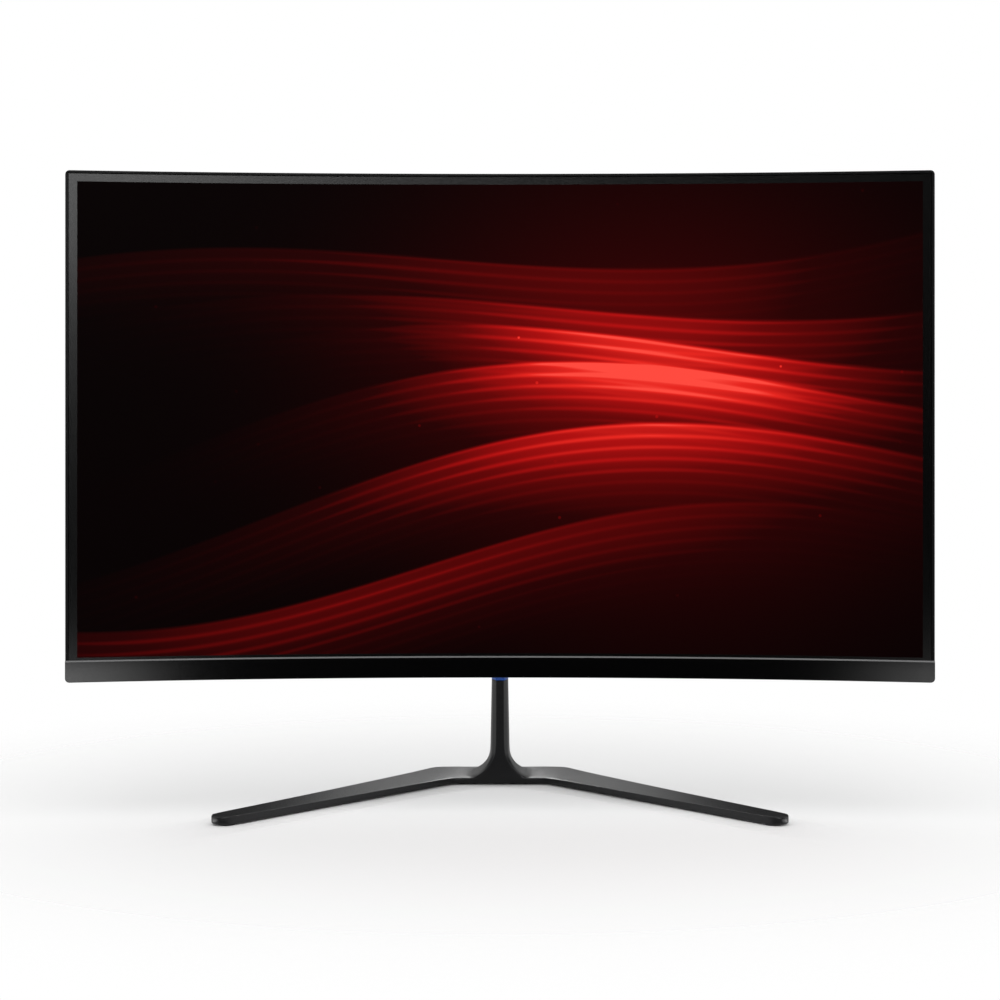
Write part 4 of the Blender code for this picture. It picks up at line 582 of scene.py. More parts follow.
class Workpiece:
    """One piece on the bench, shaped in edit mode and finished with modifiers."""

    def __init__(self, item: bpy.types.Object, name: str) -> None:
        """Take an object onto the bench.

        Args:
            item: The object.
            name: Name of the piece.
        """
        self.item = item
        item.name = name
        item.data.name = name

    @classmethod
    def block(cls, name: str, low: Point, high: Point) -> Workpiece:
        """A box between two corners.

        Args:
            name: Name of the piece.
            low: Lowest corner.
            high: Highest corner.

        Returns:
            The piece, with its place in its mesh.
        """
        clear_bench()
        size = Vector(high) - Vector(low)
        bpy.ops.mesh.primitive_cube_add(size=1.0, location=(Vector(low) + Vector(high)) / 2, scale=size)
        return cls(bpy.context.object, name).applied()

    @classmethod
    def rod(cls, name: str, radius: float, start: Point, end: Point, sides: int = 48) -> Workpiece:
        """A round bar between two points.

        Args:
            name: Name of the piece.
            radius: Radius of the bar.
            start: Middle of its first end.
            end: Middle of its other end.
            sides: Number of sides.

        Returns:
            The piece, with its place in its mesh.
        """
        clear_bench()
        run = Vector(end) - Vector(start)
        turn = Vector((0, 0, 1)).rotation_difference(run).to_euler()
        bpy.ops.mesh.primitive_cylinder_add(vertices=sides, radius=radius, depth=run.length,
                                            location=(Vector(start) + Vector(end)) / 2, rotation=turn)
        return cls(bpy.context.object, name).applied()

    @classmethod
    def turned(cls, name: str, profile: Sequence[tuple[float, float]], seat: Point, along: Point,
               steps: int = 64) -> Workpiece:
        """A turned piece: a line drawn through (radius, height) pairs and spun about its axis.

        Args:
            name: Name of the piece.
            profile: Radii and heights along the line, from the axis back to the axis.
            seat: The axis's point of height zero.
            along: Direction of the axis.
            steps: Number of steps round the axis.

        Returns:
            The piece, with its place in its mesh.
        """
        clear_bench()
        axis = Vector(along).normalized()
        side = axis.orthogonal().normalized()
        line = [Vector(seat) + side * radius + axis * height for radius, height in profile]
        bpy.ops.mesh.primitive_plane_add(size=1.0)
        piece = cls(bpy.context.object, name)
        piece.points(lambda point: point.x > 0 or point.y > 0).delete("VERT")
        piece.whole().reshape(lambda point: line[0])
        for here, there in zip(line, line[1:]):
            piece.extrude(there - here)
        piece.whole()
        bpy.ops.mesh.spin(steps=steps, angle=2 * math.pi, center=tuple(seat), axis=tuple(axis))
        return piece.merged().outward()

    @classmethod
    def copy_of(cls, node: str, name: str) -> Workpiece:
        """A copy of a node of the frame, merged into one clean skin.

        Args:
            node: Name of the node.
            name: Name of the piece.

        Returns:
            The piece.
        """
        clear_bench()
        item = bpy.data.objects.new(name, FRAME["nodes"][node].data.copy())
        bpy.context.scene.collection.objects.link(item)
        item.data.materials.clear()
        piece = cls(item, name).merged()
        bpy.ops.mesh.select_all(action="SELECT")
        bpy.ops.mesh.dissolve_limited(angle_limit=FLATNESS)
        return piece

    def applied(self) -> Workpiece:
        """Put the object's place into its mesh."""
        bpy.ops.object.transform_apply(location=True, rotation=True, scale=True)
        return self

    def take(self, mode: str) -> None:
        """Make the piece the only one selected, in a mode.

        Args:
            mode: OBJECT or EDIT.
        """
        if bpy.context.object is not self.item or self.item.mode != mode:
            clear_bench()
            bpy.context.view_layer.objects.active = self.item
            self.item.select_set(True)
            bpy.ops.object.mode_set(mode=mode)

    def pick(self, kind: str, test: Callable[[Any], bool]) -> Workpiece:
        """Select the parts of the mesh that pass a test, and nothing else.

        Args:
            kind: VERT, EDGE or FACE.
            test: Says whether a part is picked.

        Returns:
            The piece.
        """
        self.take("EDIT")
        bpy.ops.mesh.select_mode(type=kind)
        bpy.ops.mesh.select_all(action="DESELECT")
        mesh = bmesh.from_edit_mesh(self.item.data)
        for part in {"VERT": mesh.verts, "EDGE": mesh.edges, "FACE": mesh.faces}[kind]:
            if test(part):
                part.select_set(True)
        mesh.select_flush_mode()
        bmesh.update_edit_mesh(self.item.data)
        return self

    def points(self, test: Callable[[Vector], bool]) -> Workpiece:
        """Pick points by their place."""
        return self.pick("VERT", lambda vert: test(vert.co))

    def whole(self) -> Workpiece:
        """Pick all points."""
        return self.points(lambda point: True)

    def merged(self) -> Workpiece:
        """Merge points that are one.

        Returns:
            The piece.
        """
        self.whole()
        bpy.ops.mesh.remove_doubles(threshold=MERGE)
        return self

    def edges(self, test: Callable[[Vector, Vector], bool]) -> Workpiece:
        """Pick edges by the places of their ends."""
        return self.pick("EDGE", lambda edge: test(edge.verts[0].co, edge.verts[1].co))

    def faces(self, test: Callable[[Vector, Vector], bool]) -> Workpiece:
        """Pick faces by their middle and normal."""
        return self.pick("FACE", lambda face: test(face.calc_center_median(), face.normal))

    def inset(self, width: float) -> Workpiece:
        """Inset the picked faces."""
        bpy.ops.mesh.inset(thickness=width, use_boundary=True)
        return self

    def bevel(self, width: float, steps: int = 3, profile: float = 0.5) -> Workpiece:
        """Bevel the picked edges."""
        bpy.ops.mesh.bevel(offset=width, segments=steps, profile=profile, affect="EDGES")
        return self

    def extrude(self, step: Point = (0.0, 0.0, 0.0)) -> Workpiece:
        """Extrude what is picked."""
        bpy.ops.mesh.extrude_region_move(TRANSFORM_OT_translate={"value": tuple(step)})
        return self

    def bridge(self) -> Workpiece:
        """Join the picked faces by a tunnel."""
        bpy.ops.mesh.bridge_edge_loops()
        return self

    def delete(self, kind: str = "FACE") -> Workpiece:
        """Delete what is picked."""
        bpy.ops.mesh.delete(type=kind)
        return self

    def crease(self, weight: float) -> Workpiece:
        """Crease the picked edges for subdivision."""
        bpy.ops.transform.edge_crease(value=weight)
        return self

    def slice(self, place: Point, normal: Point) -> Workpiece:
        """Cut the whole skin along a plane, keeping both sides.

        Args:
            place: A point of the plane.
            normal: Direction that the plane faces.

        Returns:
            The piece.
        """
        self.take("EDIT")
        bpy.ops.mesh.select_all(action="SELECT")
        bpy.ops.mesh.bisect(plane_co=place, plane_no=normal)
        return self

    def reshape(self, rule: Callable[[Vector], Point]) -> Workpiece:
        """Move each picked point.

        Args:
            rule: Gives a point's new place from its old one.

        Returns:
            The piece.
        """
        mesh = bmesh.from_edit_mesh(self.item.data)
        for vert in mesh.verts:
            if vert.select:
                vert.co = rule(vert.co.copy())
        bmesh.update_edit_mesh(self.item.data)
        return self

    def picked_plan(self) -> list[Vector]:
        """The places of the picked points in plan."""
        mesh = bmesh.from_edit_mesh(self.item.data)
        return [vert.co.xy for vert in mesh.verts if vert.select]

    def outward(self) -> Workpiece:
        """Turn all faces outwards.

        Returns:
            The piece.
        """
        self.take("EDIT")
        bpy.ops.mesh.select_all(action="SELECT")
        bpy.ops.mesh.normals_make_consistent(inside=False)
        return self

    def modifier(self, kind: str, **settings: Any) -> Workpiece:
        """Add a modifier and apply it.

        Args:
            kind: Type of the modifier.
            settings: Values of its properties.

        Returns:
            The piece.
        """
        self.take("OBJECT")
        step = self.item.modifiers.new(kind.lower(), kind)
        for name, value in settings.items():
            setattr(step, name, value)
        bpy.ops.object.modifier_apply(modifier=step.name)
        return self

    def softened(self, width: float, steps: int = 2, angle: float = 35.0) -> Workpiece:
        """Round every edge sharper than an angle by a small width."""
        return self.modifier("BEVEL", width=width, segments=steps, limit_method="ANGLE",
                             angle_limit=math.radians(angle), use_clamp_overlap=True)

    def subdivided(self, levels: int) -> Workpiece:
        """Smooth the cage into a rounded form."""
        return self.modifier("SUBSURF", levels=levels, render_levels=levels)

    def cut_by(self, *tools: Workpiece) -> Workpiece:
        """Cut tools out of the piece.

        Args:
            tools: The pieces that are cut out and then removed.

        Returns:
            The piece.
        """
        for tool in tools:
            tool.take("OBJECT")
            self.modifier("BOOLEAN", operation="DIFFERENCE", object=tool.item)
            bpy.data.objects.remove(tool.item, do_unlink=True)
        return self

    def smooth(self, angle: float = 30.0) -> Workpiece:
        """Shade the piece smooth.

        Args:
            angle: Edges sharper than this stay sharp, in degrees.

        Returns:
            The piece.
        """
        self.take("OBJECT")
        bpy.ops.object.shade_smooth_by_angle(angle=math.radians(angle))
        return self

    def melt(self) -> Workpiece:
        """Shade the picked edges smooth."""
        bpy.ops.mesh.mark_sharp(clear=True)
        return self

    def even(self) -> Workpiece:
        """Let large faces set the shading of the edges round them."""
        return self.modifier("WEIGHTED_NORMAL", keep_sharp=True)

    def dress(self, finish: Finish, test: Callable[[Vector, Vector], bool] | None = None) -> Workpiece:
        """Give the piece, or the faces that pass a test, a finish.

        Args:
            finish: The finish.
            test: Picks faces by their middle and normal.

        Returns:
            The piece.
        """
        if test is None:
            self.take("OBJECT")
            self.item.data.materials.append(finish.build())
            return self
        self.faces(test)
        self.item.data.materials.append(finish.build())
        self.item.active_material_index = len(self.item.data.materials) - 1
        bpy.ops.object.material_slot_assign()
        return self

    def fit(self, body: Body, slot: Slot, *nodes: str) -> Workpiece:
        """Finish the piece: it rides on a body and stands for nodes of the frame.

        Args:
            body: The body that it moves with.
            slot: The record's slot for the piece. It is not used.
            nodes: Nodes that it replaces.

        Returns:
            The piece.
        """
        self.take("OBJECT")
        clear_bench()
        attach(self.item, body.value)
        if nodes:
            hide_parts(*nodes)
        LOG.info("%s rides on %s for %s", self.item.name, body.value, ", ".join(nodes) or "no node")
        return self


@dataclass(frozen=True)
class ScreenCurve:
    """The curve of the screen: every point comes forward by its sag, at its own x."""

    radius: float = 1.5
    half_width: float = 0.306
    strips: int = 48

    def sag(self, x: float) -> float:
        """How far a point at x comes forward."""
        return math.sqrt(self.radius ** 2 - x ** 2) - self.radius

    def bend(self, piece: Workpiece) -> Workpiece:
        """Cut a flat piece into strips and push it onto the curve.

        Args:
            piece: The flat piece.

        Returns:
            The curved piece.
        """
        for k in range(1, self.strips):
            piece.slice((self.half_width * (2 * k / self.strips - 1), 0, 0), (1, 0, 0))
        piece.take("OBJECT")
        deepest = self.sag(self.half_width)
        weights = piece.item.vertex_groups.new(name="sag")
        for vert in piece.item.data.vertices:
            weights.add([vert.index], min(1.0, self.sag(vert.co.x) / deepest), "REPLACE")
        return piece.modifier("DISPLACE", direction="Y", strength=deepest, mid_level=0.0, vertex_group="sag")


@dataclass
class ScreenHead:
    """The front of the head: frame, chin strip and panel."""

    curve: ScreenCurve = field(default_factory=ScreenCurve)
    rim: float = 0.002
    frame_depth: float = 0.009
    corner: float = 0.003
    edge: float = 0.0004
    recess: float = 0.0006
    clearance: float = 0.0003
    chin_proud: float = 0.0012
    chamfer: float = 0.001
    border_side: float = 0.0058
    border_top: float = 0.0054
    border_chin: float = 0.0019
    chamfer_lean: float = 0.4
    face_lean: float = 0.97
    low: Vector = field(init=False)
    high: Vector = field(init=False)
    front: float = field(init=False)
    chin_low: Vector = field(init=False)
    chin_high: Vector = field(init=False)

    def build(self) -> None:
        """Build all pieces of the front."""
        self.low, self.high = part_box("front_frame")
        self.front = self.high.y - self.frame_depth
        self.chin_low, self.chin_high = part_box("chin_bezel")
        self.front_frame()
        self.chin_strip()
        self.panel()

    def front_frame(self) -> None:
        """The thin frame round the panel: a rounded slab with a tunnel through it."""
        low = (self.low.x, self.front, self.low.z)
        high = (self.high.x, self.front + self.frame_depth, self.high.z)
        frame = Workpiece.block("screen_frame", low, high)
        frame.edges(lambda a, b: abs(a.y - b.y) > self.frame_depth / 2).bevel(self.corner, CORNER_STEPS)
        frame.faces(lambda middle, normal: abs(normal.y) > FACING).inset(self.rim).bridge()
        frame.edges(lambda a, b: max(a.y, b.y) < self.front + NEAR).bevel(self.edge, steps=2)
        over = self.frame_depth
        chin_room = Workpiece.block(
            "chin_room",
            (self.low.x - over, self.front - over, self.low.z - over),
            (self.high.x + over, self.front + self.recess, self.chin_high.z + self.clearance),
        )
        frame.cut_by(chin_room)
        self.curve.bend(frame).smooth().even().dress(RIM)
        frame.fit(Body.HEAD, Slot.MOULDED_BLACK, "front_frame")

    def chin_strip(self) -> None:
        """The strip below the picture, with a bright chamfer along its top edge."""
        top, bottom = self.chin_high.z, self.chin_low.z
        face = self.front - self.chin_proud
        back = self.front + self.recess - self.clearance
        chin = Workpiece.block("chin_strip", (self.low.x, face, bottom), (self.high.x, back, top))
        chin.edges(lambda a, b: max(a.z, b.z) < bottom + NEAR and abs(a.y - b.y) > NEAR)
        chin.bevel(self.corner, CORNER_STEPS)
        chin.edges(lambda a, b: min(a.z, b.z) > top - NEAR and max(a.y, b.y) < face + NEAR)
        chin.bevel(self.chamfer, steps=1)
        chin.edges(lambda a, b: max(a.y, b.y) < face + NEAR and min(a.z, b.z) < top - 2 * self.chamfer)
        chin.bevel(self.edge, steps=2)
        self.curve.bend(chin).smooth().even().dress(CHIN)
        lean = self.chamfer_lean
        chin.dress(CHAMFER, lambda middle, normal: normal.z > lean and normal.y < -lean)
        chin.dress(RIM, lambda middle, normal: normal.y > -self.face_lean and normal.z < lean)
        chin.fit(Body.HEAD, Slot.GLOSS_BLACK, "chin_bezel")

    def panel(self) -> None:
        """The panel: a thin slab whose front has a printed border round the lit picture."""
        low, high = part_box("lcd_panel")
        front = self.front + self.recess
        side = high.x - self.border_side
        bottom, top = self.chin_high.z + self.border_chin, high.z - self.border_top
        panel = Workpiece.block("screen_panel", (low.x, front, low.z), (high.x, high.y, high.z))
        for place, normal in (((side, 0, 0), (1, 0, 0)), ((-side, 0, 0), (1, 0, 0)),
                              ((0, 0, bottom), (0, 0, 1)), ((0, 0, top), (0, 0, 1))):
            panel.slice(place, normal)
        self.curve.bend(panel).smooth().even().dress(BORDER)
        panel.dress(PICTURE, lambda middle, normal: (
            normal.y < -FACING and abs(middle.x) < side and bottom < middle.z < top))
        panel.fit(Body.HEAD, Slot.PANEL_GLASS, "lcd_panel")


@dataclass
class Stand:
    """The V base with the lower neck, the collar, the upper neck, their fixings and the foot pads.

    Heights are above the desk, and a crease goes from 0, which is round, to 1, which is sharp.
    """

    lift: float = 0.0008
    hub_top: float = 0.0058
    roll_rise: float = 0.001
    roll_drop: float = 0.0005
    roll_end: float = 0.1
    hub_half: float = 0.0365
    hub_depth: float = 0.052
    leg_splay: float = math.radians(40.0)
    leg_length: float = 0.2312
    leg_root: float = 0.041
    leg_stations: tuple[float, ...] = (0.03, 0.10, 0.35, 0.62, 0.84)
    tip_radius: float = 0.0094
    tip_reach: float = 0.0018
    tip_turn: float = math.radians(20.0)
    tip_swell: float = 0.001
    swell_start: float = 0.5
    nose: float = 0.0118
    tip_noses: float = 1.5
    hub_crease: float = 0.45
    rim_crease: float = 0.9
    tip_crease: float = 0.42
    sole_crease: float = 0.33
    ridge_creases: tuple[tuple[str, float], ...] = (("face", 0.5), ("rear", 0.8))
    smoothness: int = 3
    sharpest: float = 40.0
    face: float = 0.0029
    body_base: float = 0.0078
    body_top: float = 0.0063
    depth: float = 0.042
    setback: float = 0.0006
    shoulder: float = 0.009
    ease: float = 0.15
    face_rise: float = 0.023
    body_rise: float = 0.017
    flare_face: float = 0.0142
    toe: float = 0.003
    toe_power: int = 12
    flare_body: float = 0.0168
    flare_rings: int = 6
    neck_stations: tuple[float, ...] = (0.35, 0.7, 0.96, 1.0)
    eye_radius: float = 0.010
    screw_pocket: float = 0.0038
    screw_seat: float = 0.0024
    band_edge: float = 0.0003
    arm_edge: float = 0.0006
    bolt_edge: float = 0.0002
    pad_edge: float = 0.0005
    hub_back: float = field(init=False)
    hub_front: float = field(init=False)
    collar: float = field(init=False)
    hinge: Vector = field(init=False)
    screw_middle: Vector = field(init=False)
    screw_out: Vector = field(init=False)

    def build(self) -> None:
        """Build all pieces of the stand."""
        _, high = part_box("stand_base")
        self.hub_back = high.y
        self.hub_front = high.y - self.hub_depth
        self.collar = high.z
        tilt = next(joint for joint in FRAME["joints"] if joint["name"] == "head_tilt")
        self.hinge = Vector(tilt["pos_m"])
        screws = [sum(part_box(f"neck_screw_{place}"), Vector()) / 2 for place in ("lower", "upper")]
        up = (screws[1] - screws[0]).normalized()
        self.screw_middle, self.screw_out = screws[0], Vector((0.0, up.z, -up.y))
        self.base()
        self.upper_neck()
        self.pads()

    def leg_lines(self) -> tuple[Vector, Vector, Vector, Vector]:
        """The leg in plan.

        Returns:
            Root and tip of its inner line, then root and tip of its outer line.
        """
        along = Vector((math.sin(self.leg_splay), -math.cos(self.leg_splay)))
        across = Vector((math.cos(self.leg_splay), math.sin(self.leg_splay)))
        inner = Vector((self.hub_half, self.hub_front))
        outer_root = inner + across * self.leg_root
        reach = self.leg_length + self.tip_radius
        tip = inner + along * reach
        outer_tip = tip + across * 2 * self.tip_radius
        taper = outer_tip - along * self.tip_radius - outer_root
        rear = outer_root - taper * ((self.hub_back - outer_root.y) / -taper.y)
        outer_end = outer_root + taper * (reach / self.leg_length)
        longer = along * self.tip_reach
        return inner, tip + longer, rear, outer_end + longer

    def nearness(self, z: float, rise: float) -> float:
        """How near a height is to the foot of a flare with a rise, from 0 to 1."""
        return min(max(1 - (z - self.hub_top) / rise, 0.0), 1.0)

    def hub_share(self, y: float) -> float:
        """How far back on the hub a place is, from 0 at its front to 1 at its back."""
        return (y - self.hub_front) / self.hub_depth

    def roll(self, share: float) -> float:
        """How much higher the hub's top is at a share of its depth: it rolls down towards its front."""
        return self.roll_rise * (1 - (1 - share) ** 3) - self.roll_drop

    def section(self, z: float) -> dict[str, Vector]:
        """The right half of the neck's section at a height.

        Args:
            z: The height.

        Returns:
            The section's points by name.
        """
        nearness = self.nearness(z, self.face_rise)
        face_flare = nearness ** 2
        body_flare = 1 - math.sqrt(1 - self.nearness(z, self.body_rise) ** 2)
        climb = max((z - self.hub_top) / (self.hinge.z - self.hub_top), 0.0)
        eased = (math.hypot(climb, self.ease) - self.ease) / (math.hypot(1.0, self.ease) - self.ease)
        foot = self.hub_front + self.setback * (1 - face_flare)
        front = foot + (self.hinge.y - self.eye_radius - foot) * eased
        foot = self.hub_front + self.depth
        back = foot + (self.hinge.y + self.eye_radius - foot) * climb
        share = min(max((z - self.hub_top) / (self.collar - self.hub_top), 0.0), 1.0)
        body = self.body_base + (self.body_top - self.body_base) * share + self.flare_body * body_flare
        face = self.face + self.flare_face * face_flare + self.toe * nearness ** self.toe_power
        waist = front + self.shoulder
        return {
            "front": Vector((0.0, front, z)),
            "face": Vector((face, front, z)),
            "slant": Vector(((face + body) / 2, (front + waist) / 2, z)),
            "shoulder": Vector((body, waist, z)),
            "rear": Vector((body, back, z)),
            "rear_inner": Vector((face, back, z)),
            "rear_middle": Vector((0.0, back, z)),
            "core": Vector((0.0, waist, z)),
        }

    def base(self) -> None:
        """The casting: half a hub, its leg and the lower neck drawn out of it, mirrored and smoothed."""
        foot = self.section(self.hub_top)
        base = Workpiece.block("base_casting", (0.0, self.hub_front, self.lift),
                               (self.hub_half, self.hub_back, self.hub_top))
        base.faces(lambda middle, normal: normal.x < -FACING).delete()
        for x in (foot["face"].x, foot["shoulder"].x):
            base.slice((x, 0, 0), (1, 0, 0))
        for y in (foot["shoulder"].y, foot["rear"].y):
            base.slice((0, y, 0), (0, 1, 0))
        notch = Vector((foot["face"].x, foot["shoulder"].y))
        base.points(lambda p: (p.xy - notch).length < NEAR)
        base.reshape(lambda p: (foot["slant"].x, foot["slant"].y, p.z))
        base.points(lambda p: p.z > self.hub_top - NEAR)
        base.reshape(lambda p: (p.x, p.y, p.z + self.roll(self.hub_share(p.y))))
        self.draw_leg(base)
        self.draw_neck(base, foot)
        base.outward()
        self.crease_base(base)
        base.modifier("MIRROR", use_axis=(True, False, False), use_clip=True, merge_threshold=NEAR)
        base.subdivided(self.smoothness)
        seat = self.screw_middle + self.screw_out * self.screw_seat
        pocket_end = seat + self.screw_out * self.depth
        base.cut_by(Workpiece.rod("screw_pocket", self.screw_pocket, seat, pocket_end))
        base.smooth(self.sharpest).dress(SATIN)
        base.fit(Body.STAND, Slot.STAND_BLACK, "stand_base")

    def draw_leg(self, base: Workpiece) -> None:
        """Slant the hub's side to the root of the leg and draw the leg out to its round tip.

        Args:
            base: Half of the casting, so far only its hub.
        """
        inner, tip, rear, end = self.leg_lines()
        base.points(lambda p: p.x > self.hub_half - NEAR)
        base.reshape(lambda p: (self.hub_half + (rear.x - self.hub_half) * self.hub_share(p.y), p.y, p.z))
        base.faces(lambda middle, normal: middle.x > self.hub_half - NEAR and abs(normal.z) < UPRIGHT
                   and normal.x > SIDEWAYS)
        near, far = inner, rear
        for step in (*self.leg_stations, 1 - self.nose / (tip - inner).length):
            next_near, next_far = inner.lerp(tip, step), rear.lerp(end, step)
            fading = max(1 - step / self.roll_end, 0.0)
            swelling = max(step - self.swell_start, 0.0) / (1 - self.swell_start)

            def stretch(p: Vector) -> Point:
                """Where a point of the last station goes at the next one."""
                part = (p.xy - near).length / (far - near).length
                place = next_near.lerp(next_far, part)
                top = self.hub_top + self.roll(part) * fading + self.tip_swell * swelling
                return place.x, place.y, top if p.z > self.lift + NEAR else p.z

            base.extrude().reshape(stretch)
            near, far = next_near, next_far
        middle, half = (near + far) / 2, (far - near) / 2
        along = (tip - inner).normalized() * self.nose
        places = sorted({round((p - near).length / (far - near).length, 3) for p in base.picked_plan()})

        def round_off(p: Vector) -> Point:
            """Where a point of the last station goes on the round end."""
            part = round((p.xy - near).length / (far - near).length, 3)
            turn = self.tip_turn + (math.pi - 2 * self.tip_turn) * places.index(part) / (len(places) - 1)
            place = middle - half * math.cos(turn) + along * math.sin(turn)
            return place.x, place.y, p.z

        base.extrude().reshape(round_off)

    def draw_neck(self, base: Workpiece, foot: dict[str, Vector]) -> None:
        """Draw the lower neck out of the hub's top, through its flare and up to the collar.

        Args:
            base: Half of the casting, with its hub and leg.
            foot: The neck's section on the hub's top.
        """
        span = foot["shoulder"].x + NEAR
        base.faces(lambda middle, normal: normal.z > FACING and middle.x < span and middle.y < foot["rear"].y
                   and not self.beside_neck(middle, foot))
        here = foot
        turns = [math.pi / 2 * (1 - k / self.flare_rings) for k in range(1, self.flare_rings + 1)]
        levels = [self.hub_top + self.face_rise * (1 - math.sin(turn)) for turn in turns]
        top = levels[-1]
        levels += [top + (self.collar - top) * share for share in self.neck_stations]
        for z in levels:
            above = self.section(z)

            def lift(p: Vector) -> Point:
                """Where a point of the last section goes in the next one."""
                return above[min(here, key=lambda name: (here[name] - p).length)]

            base.extrude().reshape(lift)
            here = above

    def beside_neck(self, middle: Vector, foot: dict[str, Vector]) -> bool:
        """Whether a face of the hub's top lies outside the neck's slanted shoulder."""
        return middle.x > foot["face"].x and middle.y < foot["slant"].y

    def crease_base(self, base: Workpiece) -> None:
        """Crease the rims of the base, the top of the lower neck and the ridges that run up it.

        Args:
            base: Half of the casting.
        """
        base.pick("EDGE", lambda edge: self.on_rim(edge, -1.0)).crease(self.sole_crease)
        for weight in (self.hub_crease, self.tip_crease, self.rim_crease):
            base.pick("EDGE", lambda edge: self.on_rim(edge, 1.0) and self.top_crease(edge) == weight)
            base.crease(weight)
        base.edges(lambda a, b: min(a.z, b.z) > self.collar - NEAR).crease(1.0)
        for name, weight in self.ridge_creases:
            base.edges(lambda a, b: self.on_ridge(name, a, b)).crease(weight)

    def on_rim(self, edge: bmesh.types.BMEdge, up: float) -> bool:
        """Whether an edge of the base lies between a wall and its top or underside.

        Args:
            edge: The edge.
            up: 1 for the top, -1 for the underside.

        Returns:
            Whether it does.
        """
        flat = any(face.normal.z * up > FACING for face in edge.link_faces)
        wall = any(abs(face.normal.z) < UPRIGHT for face in edge.link_faces)
        return flat and wall and max(vert.co.z for vert in edge.verts) < self.hub_top + self.roll_rise

    def top_crease(self, edge: bmesh.types.BMEdge) -> float:
        """The crease of an edge of the top's rim: on the hub, on the round tip of the leg or between them.

        Args:
            edge: The edge.

        Returns:
            The crease.
        """
        if max(vert.co.x for vert in edge.verts) < self.hub_half + NEAR:
            return self.hub_crease
        inner, tip, _, _ = self.leg_lines()
        along = (tip - inner).normalized()
        tip_start = (tip - inner).length - self.tip_noses * self.nose
        on_tip = min((vert.co.xy - inner).dot(along) for vert in edge.verts) > tip_start
        return self.tip_crease if on_tip else self.rim_crease

    def on_ridge(self, name: str, a: Vector, b: Vector) -> bool:
        """Whether an edge runs up one of the neck's ridges.

        Args:
            name: Name of the ridge's point in the neck's section.
            a: One end of the edge.
            b: Its other end.

        Returns:
            Whether it does.
        """
        rises = min(a.z, b.z) > self.hub_top - NEAR and abs(a.z - b.z) > NEAR
        return rises and all((end - self.section(end.z)[name]).length < NEAR for end in (a, b))

    def upper_neck(self) -> None:
        """The collar, the upper neck and the two screws that hold its tongue."""
        band = Workpiece.copy_of("neck_collar", "neck_band")
        wider = (self.body_top - NEAR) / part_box("neck_collar")[1].x
        band.whole().reshape(lambda point: (point.x * wider, point.y, point.z))
        band.softened(self.band_edge).smooth().dress(BLUE).fit(Body.STAND, Slot.COLLAR_BLUE, "neck_collar")
        arm = Workpiece.copy_of("neck_arm", "upper_neck").softened(self.arm_edge).smooth().even()
        arm.dress(SATIN).fit(Body.STAND, Slot.STAND_BLACK, "neck_arm")
        for place in ("lower", "upper"):
            node = f"neck_screw_{place}"
            screw = Workpiece.copy_of(node, f"neck_bolt_{place}").softened(self.bolt_edge).smooth().even()
            screw.dress(BLACKENED).fit(Body.STAND, Slot.DARK_STEEL, node)

    def pads(self) -> None:
        """The rubber pads under the base."""
        for side in ("left", "right"):
            for place in ("tip", "leg", "hub"):
                node = f"foot_pad_{side}_{place}"
                low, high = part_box(node)
                middle = (low + high) / 2
                pad = Workpiece.rod(f"rubber_{side}_{place}", (high.x - low.x) / 2,
                                    (middle.x, middle.y, low.z), (middle.x, middle.y, high.z))
                pad.edges(lambda a, b: max(a.z, b.z) < low.z + NEAR).bevel(self.pad_edge)
                pad.smooth().dress(RUBBER).fit(Body.STAND, Slot.RUBBER, node)


def rounded_edge(radius: float, edge: float) -> list[Pair]:
    """The rounded outer edge of a turned piece, as part of its profile, from height zero down.

    Args:
        radius: Radius of the piece.
        edge: Radius of the rounding.

    Returns:
        Radii and heights.
    """
    turns = [math.pi / (2 * EDGE_STEPS) * k for k in range(EDGE_STEPS + 1)]
    return [(radius - edge * (1 - math.sin(turn)), -edge * (1 - math.cos(turn))) for turn in turns]


